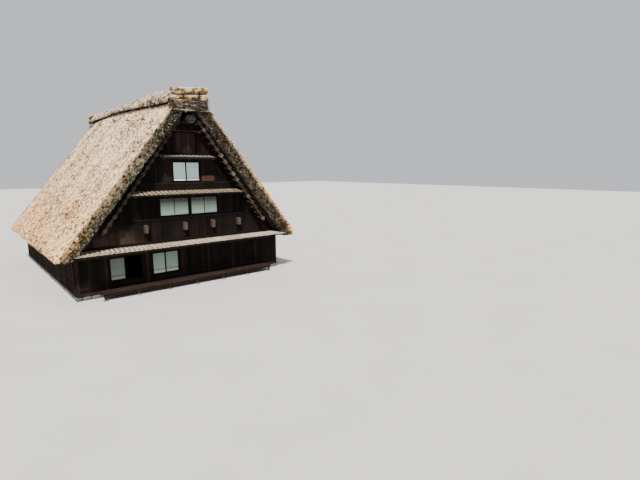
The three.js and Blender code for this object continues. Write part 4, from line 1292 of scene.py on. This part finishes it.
def apex_log(side, material, peg_material):
    """The log end under the apex, with its rings, and the peg over it."""
    batch = Batch(191, side, 1)
    c, s = np.cos(turns(32)), np.sin(turns(32))
    tall = np.where(s > 0, LOG_TOP - LOG_MIDDLE, LOG_MIDDLE - LOG_BOTTOM)
    z = LOG_MIDDLE + 0.97 * tall * swell(s, np.where(s > 0, 0.5, 0.9))
    out = np.linspace(0.002, LOG_REACH, 22)[:, None]
    rings = xyz(LOG_HALF * 0.97 * swell(c, 0.85), -out, z)
    grown = np.where(out > LOG_REACH - 0.02, 0.94, 1) + noise(rings * [1, 0.25, 1], 0.07, 193) * 0.048
    middle = xyz(0, -out, LOG_MIDDLE)
    rings = middle + (rings - middle) * grown[..., None]
    centre = middle[-1]
    end_face = [centre + (rings[-1] - centre) * share for share in (0.85, 0.68, 0.5, 0.32, 0.15)]
    rings = np.concatenate([rings, end_face])
    tint = 0.45 + 0.9 * noise(rings * [1, 0.3, 1], 0.11, 194) - 1.4 * (rings[..., 2] - LOG_MIDDLE)
    batch.tube(rings, np.clip(tint, 0, 1).ravel(), 0.3, (0, 1, 0))
    batch.build("apex_log_bark", material, "poles", "apex_log")
    peg = Batch(195, side, 0)
    peg.rods((-0.28, -0.90, 10.60), (-0.31, -1.055, 10.68), 0.045, 0.042, 10, 1.0)
    peg.build("apex_peg", peg_material, "poles")


def red_board(material):
    x0, x1, z0, z1 = RED_BOARD
    batch = Batch(201, "front")
    rail = 0.05
    xs, zs = (x0 + rail, x1 - rail), (z0 + rail, z1 - rail)
    for left, right, low, high in ((x0, x1, z0, zs[0]), (x0, x1, zs[1], z1),
                                   (x0, xs[0], *zs), (xs[1], x1, *zs)):
        batch.box((left, -0.05, low), (right, -0.028, high), 0.3, 0.7)
    for low, high in pairwise(np.linspace(*zs, 4)):
        batch.box((xs[0], -0.042, low + 0.002), (xs[1], -0.028, high - 0.002),
                  batch.rng.uniform(0.5, 1.0), 0.3)
    batch.build("red_board_slats", material, "red_board", "red_board")


def veranda(material, stone_finish):
    batch = Batch(211, "front")
    thick = 0.035
    for i, (y0, y1) in enumerate(pairwise(np.linspace(-VERANDA_DEPTH, -POST_OUTSTAND - 0.02, 7))):
        joints = np.linspace(-VERANDA_HALF, VERANDA_HALF, 5)
        joints[1:-1] += 0.6 * (i % 2)
        for x0, x1 in pairwise(joints):
            top = VERANDA_TOP - batch.rng.uniform(0, 0.006)
            batch.box((x0 + 0.003, y0 + BOARD_GAP, top - thick),
                      (x1 - 0.003, y1 - BOARD_GAP, top), weather=0.8)
    half = 0.06
    bottom, top = VERANDA_TOP - 0.18, VERANDA_TOP - thick
    edge_y = -VERANDA_DEPTH + 0.06 + half
    reach = VERANDA_HALF - 0.02
    batch.box((-reach, edge_y - half, bottom), (reach, edge_y + half, top), weather=0.5)
    batch.box((-reach, -0.16, bottom), (reach, -0.07, top), weather=0.2)
    posts = np.linspace(-reach + 0.04 + half, reach - 0.04 - half, 7)
    for x in posts:
        batch.box((x - half, edge_y - half, 0.05), (x + half, edge_y + half, bottom), weather=0.5)
        batch.box((x - 0.045, -0.14, bottom + 0.01), (x + 0.045, edge_y, bottom + 0.09), weather=0.2)
    batch.build("veranda_boards", material, "brown_boards", "veranda")
    feet = Batch(212, "front")
    for x in posts:
        boulder(feet, (x, edge_y, 0.03), (0.13, 0.12, 0.045))
    feet.build("veranda_stones", stone_finish, "stone", smooth=True)


# Footing stones, side walls and floors

def boulder(batch, centre, size):
    """A rounded stone, flattened where it rests."""
    a = math.pi * (np.linspace(0.03, 0.97, 9)[:, None] - 0.5)
    b = turns(14)
    waist = np.cos(a) ** 0.55
    shape = xyz(swell(np.cos(b), 0.6) * waist, swell(np.sin(b), 0.6) * waist, np.sin(a))
    lumps = 1 + 0.10 * noise(shape + batch.rng.uniform(-50, 50, 3), 0.7, 220)[..., None]
    points = shape * lumps * size + centre
    points[..., 2] = np.maximum(points[..., 2], 0.0)
    batch.tube(points, None, 0.15 * batch.rng.uniform(), (1, 0, 0))


def footing(material):
    """Field stones in a row under the walls, in front of a dark core."""
    batch = Batch(221)
    half_x, half_y = WALL_HALF_WIDTH + STONE_OUTSTAND, GABLE_FACE + STONE_OUTSTAND
    core, inner = 0.09, STONE_WIDTH
    depth, middle = 0.11, 0.122
    thick, tall = 0.108, 0.125
    top = SILL_HEIGHT - 0.002
    for sign in (-1, 1):
        batch.box((core - half_x, sign * (half_y - core), 0), (half_x - core, sign * (half_y - inner), top),
                  0.0, 1.0)
    for sign in (-1, 1):
        reach = half_y - inner
        batch.box((sign * (half_x - core), -reach, 0), (sign * (half_x - inner), reach, top), 0.0, 1.0)
    for along_x, sign in product((True, False), (-1, 1)):
        length = 2 * half_x if along_x else 2 * half_y - 0.3
        at = 0.0
        while at < length - 0.05:
            size = min(batch.rng.uniform(0.26, 0.52), length - at)
            place, half = at + size / 2, size / 2 * 1.02
            if along_x:
                boulder(batch, (place - half_x, sign * (half_y - depth), middle), (half, thick, tall))
            else:
                boulder(batch, (sign * (half_x - depth), place - half_y + 0.15, middle), (thick, half, tall))
            at += size
    batch.build("footing_stones", material, "stone", "stone_foundation", smooth=True)


def side_boards(name, sign, material, door):
    """Boards between the posts of a side wall, drawn from corner to corner."""
    batch = Batch(231 + sign)
    draw = batch.rng.uniform
    half = POST_WIDTH / 2
    gap = DOOR_HALF + FRAME_WIDTH
    reach = GABLE_FACE - WALL_THICK - half
    top = roof_z(WALL_HALF_WIDTH + 0.03) - ROOF_GAP
    over_door = DOOR_TOP + FRAME_WIDTH + 0.01
    posts = np.linspace(-reach, reach, 9)

    def plank(y0, y1, z0, z1, thick, weather):
        batch.box((sign * (WALL_HALF_WIDTH + 0.001), y0, z0), (sign * (WALL_HALF_WIDTH + thick), y1, z1),
                  weather=weather)

    for left, right in pairwise(posts):
        start, end = left + half + BOARD_GAP, right - half - BOARD_GAP
        for y0, y1 in pairwise(np.linspace(start, end, round((end - start) / 0.25) + 1)):
            opening = door and y0 < gap and y1 > -gap
            if opening:
                y0 = max(y0, gap) if y1 > gap else y0
                y1 = min(y1, -gap) if y0 < -gap else y1
                opening = y0 < gap - 0.01 and y1 > -gap + 0.01
            low = over_door if opening else BOARD_FOOT
            if top - low > 0.05:
                plank(y0 + 0.003, y1 - 0.003, low, top, 0.02 + draw(0, 0.008), draw(0.0, 0.5))
            if not opening:
                plank(y1 - 0.02, y1 + 0.02, low, top, 0.036, 0.4)
    for y in posts:
        low = over_door if door and abs(y) < gap else POST_FOOT
        plank(y - half - 0.004, y + half + 0.004, low, top - 0.01, POST_OUTSTAND + 0.015, 0.4)
    for y0, y1 in [(-reach, -gap), (gap, reach)] if door else [(-reach, reach)]:
        plank(y0, y1, POST_FOOT, BOARD_FOOT - 0.01, POST_OUTSTAND + 0.02, 0.5)
        plank(y0, y1, 1.18, 1.27, 0.046, 0.3)
    batch.build(f"{name}_boards", material, "dark_boards")


def eave_poles(material):
    """Round rafter feet under both eaves, with a long pole across them."""
    batch = Batch(241)
    depth = -THATCH_THICK - 0.052
    start_u = (WALL_HALF_WIDTH + 0.02 - depth * math.sin(THETA)) / math.cos(THETA)
    places = np.arange(-7.4, 7.5, 0.74)
    n = -THATCH_THICK - 0.02
    pole_u = (inner_x(2.5) + 0.015) / math.cos(THETA) - n * math.tan(THETA)
    for sign in (-1, 1):
        starts, ends = (on_slope(sign, u, places, depth) for u in (start_u, start_u + 0.50))
        batch.rods(starts, ends, batch.rng.uniform(0.042, 0.05, len(places)), sides=9, weather=0.4)
        batch.rope(on_slope(sign, pole_u, np.linspace(-7.85, 7.85, 60), n), 0.022, sides=8, weather=0.4)
    batch.build("eave_poles", material, "poles")


def entrance(material, frame_material):
    """Board doors in the right wall."""
    boards, frames = Batch(251), Batch(252)
    low, high = FLOOR_TOP + FRAME_WIDTH, DOOR_TOP

    def put(batch, y0, y1, z0, z1, x0, x1, tint=None, weather=0.0):
        batch.box((WALL_HALF_WIDTH - x0, y0, z0), (WALL_HALF_WIDTH - x1, y1, z1), tint, weather)

    f = FRAME_SHOWN
    wide = DOOR_HALF + f + 0.03
    for y0, y1, z0, z1, out, weather in ((-DOOR_HALF - f, -DOOR_HALF, low - f, high + f, 0.028, 0.3),
                                         (DOOR_HALF, DOOR_HALF + f, low - f, high + f, 0.028, 0.3),
                                         (-wide, wide, low - f, low - 0.012, 0.055, 0.6),
                                         (-wide, wide, high + 0.012, high + f, 0.045, 0.2)):
        put(frames, y0, y1, z0, z1, -out, FRAME_BACK, weather=weather)
    for left, right, depth in ((-DOOR_HALF, 0.025, 0.05), (-0.025, DOOR_HALF, 0.085)):
        for y0, y1 in pairwise(np.linspace(left, right, 6)):
            put(boards, y0 + 0.002, y1 - 0.002, low, high, depth - 0.010, depth + 0.014, weather=0.5)
        for z0, z1 in ((low, low + 0.12), (1.12, 1.22), (high - 0.1, high)):
            put(boards, left, right, z0, z1, depth - 0.024, depth - 0.004, 0.3, 0.4)
        for y0 in (left, right - 0.07):
            put(boards, y0, y0 + 0.07, low, high, depth - 0.026, depth - 0.002, 0.4, 0.4)
    boards.build("entrance_door_boards", material, "brown_boards", "entrance_doors")
    frames.build("entrance_door_frame", frame_material, "dark_boards")


def beams_and_floor(material):
    """The second storey's floor planks on long beams, hewn with an adze."""
    batch = Batch(261)
    reach = GABLE_FACE + BEAM_OUTSTAND
    half, middle = BEAM_WIDTH / 2 - 0.004, (BEAM_TOP + BEAM_BOTTOM) / 2
    tall = (BEAM_TOP - BEAM_BOTTOM) / 2 - 0.004
    chamfer = 0.03
    flat, cut = half - chamfer, tall - chamfer
    across, up = np.array([(-flat, -tall), (flat, -tall), (half, -cut), (half, cut),
                           (flat, tall), (-flat, tall), (-half, cut), (-half, -cut)]).T
    y = np.array([-reach, -reach + 0.012, *np.linspace(-reach + 0.3, reach - 0.3, 60), reach - 0.012, reach])
    y = y[:, None]
    shrink = np.where(np.abs(y) > reach - 0.005, 0.93, 1.0)
    for x in BEAM_PLACES:
        rings = xyz(x + across * shrink, y, middle + up * shrink)
        hewn = (noise(rings * [1, 0.5, 1], 0.16, 262) * 0.004 - 0.002)[..., None]
        rings += hewn * np.sign(rings - xyz(x, y, middle))
        batch.tube(rings[:, ::-1], None, 0.55, (0, 1, 0))
    inner = GABLE_FACE - WALL_THICK - 0.002
    top = BEAM_TOP + FLOOR_BOARDS
    half = inner_x(top) - 0.02
    for y0, y1 in pairwise(np.linspace(-inner, inner, 53)):
        batch.box((-half, y0 + 0.002, BEAM_TOP), (half, y1 - 0.002, top), weather=0.2)
    batch.build("floor_storey_2_timbers", material, "beams", "floor_storey_2")


# The finishes. Stops are a position with its red, green and blue

studio()

left_straw = straw_material(
    "left_straw", -1, [(0.0, 0.012, 0.010, 0.006), (0.35, 0.045, 0.036, 0.023), (0.6, 0.13, 0.106, 0.070),
                       (0.8, 0.28, 0.24, 0.165), (1.0, 0.48, 0.42, 0.31)],
    (0.40, 0.42, 0.42), 0.5, 0.65, (0.435, 0.575))
right_straw = straw_material(
    "right_straw", 1, [(0.0, 0.018, 0.012, 0.009), (0.4, 0.052, 0.036, 0.026), (0.7, 0.10, 0.073, 0.054),
                       (1.0, 0.22, 0.165, 0.12)],
    (0.40, 0.36, 0.32), 0.2, 0.25, (0.39, 0.60))
cap_straw = cap_material("cap_straw")

# Each bundle's stops, dust and how spotted it is
golden_straw, bark, straw_rope, dark_rope, shaded_mossy_rope = (bundle_material(*spec) for spec in (
    ("golden_straw", [(0.0, 0.040, 0.022, 0.010), (0.25, 0.19, 0.105, 0.042), (0.5, 0.54, 0.35, 0.155),
                      (0.75, 0.86, 0.66, 0.37), (1.0, 0.97, 0.85, 0.61)], (0.70, 0.46, 0.28), 0.55),
    ("bark", [(0.0, 0.010, 0.008, 0.006), (0.4, 0.045, 0.034, 0.026), (0.8, 0.16, 0.125, 0.10),
              (1.0, 0.55, 0.47, 0.38)], (0.12, 0.09, 0.07), 0.7),
    ("straw_rope", [(0.0, 0.06, 0.042, 0.028), (0.5, 0.15, 0.115, 0.08), (1.0, 0.36, 0.29, 0.21)],
     (0.16, 0.12, 0.085)),
    ("dark_rope", [(0.0, 0.012, 0.009, 0.007), (0.4, 0.045, 0.034, 0.026), (0.75, 0.16, 0.125, 0.10),
                   (1.0, 0.36, 0.29, 0.22)], (0.05, 0.036, 0.027)),
    # The left pole's ropes: greenish with moss, and darker than dark_rope as painted shade
    ("shaded_mossy_rope", [(0.0, 0.012, 0.012, 0.009), (0.5, 0.045, 0.046, 0.036), (1.0, 0.12, 0.12, 0.095)],
     (0.03, 0.031, 0.022))))

# Each wood's stops, worn colour, streaks and lines. The smoked boards' worn colour also paints sunlight
(dark_boards, brown_boards, veranda_wood, beam_wood, pent_1, pent_2, pent_3, left_pole, right_pole,
 pole_wood, lattice, log_bark, red_paint) = (wood_material(*spec) for spec in (
    ("smoked_boards", [(0.0, 0.002, 0.0018, 0.0018), (0.6, 0.0045, 0.0038, 0.0036),
                       (1.0, 0.010, 0.0080, 0.0072)], (0.085, 0.054, 0.040), 0.55, 0.02),
    ("brown_boards", [(0.0, 0.005, 0.0045, 0.0045), (0.5, 0.016, 0.012, 0.011), (1.0, 0.050, 0.027, 0.021)],
     (0.05, 0.034, 0.028), 0.55, 0.15),
    ("veranda_boards", [(0.0, 0.011, 0.007, 0.0055), (1.0, 0.030, 0.018, 0.014)], (0.045, 0.029, 0.023),
     0.55, 0.2),
    ("beam_wood", [(0.0, 0.030, 0.021, 0.016), (1.0, 0.074, 0.052, 0.040)], (0.13, 0.096, 0.074)),
    ("pent_boards_1", [(0.0, 0.10, 0.070, 0.052), (0.55, 0.36, 0.27, 0.20), (1.0, 0.90, 0.80, 0.64)],
     (0.84, 0.73, 0.58), 0.5),
    ("pent_boards_2", [(0.0, 0.035, 0.023, 0.015), (0.55, 0.14, 0.095, 0.065), (1.0, 0.62, 0.49, 0.36)],
     (0.54, 0.42, 0.31), 0.6),
    ("pent_boards_3", [(0.0, 0.06, 0.045, 0.038), (0.55, 0.13, 0.105, 0.09), (1.0, 0.40, 0.34, 0.30)],
     (0.46, 0.40, 0.36), 0.5),
    # The left pole's stops are darker than the right's: painted shade
    ("left_pole", [(0.0, 0.008, 0.006, 0.005), (0.5, 0.022, 0.018, 0.014), (1.0, 0.075, 0.062, 0.05)],
     (0.05, 0.042, 0.033)),
    ("right_pole", [(0.0, 0.022, 0.014, 0.009), (0.5, 0.075, 0.053, 0.038), (1.0, 0.26, 0.20, 0.155)],
     (0.10, 0.072, 0.052)),
    ("pole_wood", [(0.0, 0.05, 0.032, 0.022), (0.5, 0.13, 0.09, 0.065), (1.0, 0.30, 0.23, 0.17)],
     (0.34, 0.27, 0.20)),
    ("lattice", [(0.0, 0.004, 0.0035, 0.0035), (0.85, 0.010, 0.008, 0.0075), (1.0, 0.50, 0.58, 0.56)],
     (0.014, 0.011, 0.010), 0.55, 0.1),
    ("log_bark", [(0.0, 0.006, 0.0055, 0.005), (0.5, 0.016, 0.0145, 0.0125), (1.0, 0.050, 0.045, 0.038)],
     (0.045, 0.041, 0.036)),
    ("red_paint", [(0.0, 0.038, 0.016, 0.012), (0.8, 0.10, 0.034, 0.025), (1.0, 0.18, 0.035, 0.025)],
     (0.11, 0.068, 0.055))))
paper = paper_material("window_paper")
stone = stone_material("field_stone")

# The pieces

thatch("left_thatch", -1, left_straw)
thatch("right_thatch", 1, right_straw)
ridge_cap(cap_straw)
needles(pole_wood, straw_rope)
for gable_side in ("front", "back"):
    ridge_end(gable_side, golden_straw, bark, dark_rope)
    gable_boards(gable_side, dark_boards, pent_3)
    windows(gable_side, paper, lattice)
    shutters(gable_side, brown_boards, dark_boards)
    pent_roofs(gable_side, (pent_1, pent_2, pent_3), beam_wood, dark_boards)
    verge_poles(gable_side, left_pole, right_pole, dark_rope, shaded_mossy_rope)
    verge_rafters(gable_side, left_pole)
    apex_log(gable_side, log_bark, straw_rope)
red_board(red_paint)
veranda(veranda_wood, stone)
footing(stone)
side_boards("left_wall", -1, dark_boards, False)
side_boards("right_wall", 1, dark_boards, True)
eave_poles(pole_wood)
entrance(brown_boards, dark_boards)
beams_and_floor(beam_wood)

# The CAD nodes that stay

wall_shades = ((0.006, 0.005, 0.0045), (0.014, 0.010, 0.009))
gables = [f"{gable_side}_{part}" for gable_side in ("front", "back")
          for part in ("wall", "gable_storey_2", "gable_storey_3", "gable_storey_4")]
for finish, kept in (
        (plank_material("wall_planks_x", 0, 2, 0.25, *wall_shades), gables),
        (plank_material("wall_planks_y", 1, 2, 0.25, *wall_shades), ("left_wall", "right_wall")),
        (plank_material("floor_planks", 0, 1, 0.3, (0.10, 0.06, 0.04), (0.17, 0.11, 0.075)),
         ("ground_floor", "floor_storey_3", "floor_storey_4"))):
    for node in kept:
        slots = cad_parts[node].data.materials
        slots.clear()
        slots.append(finish)
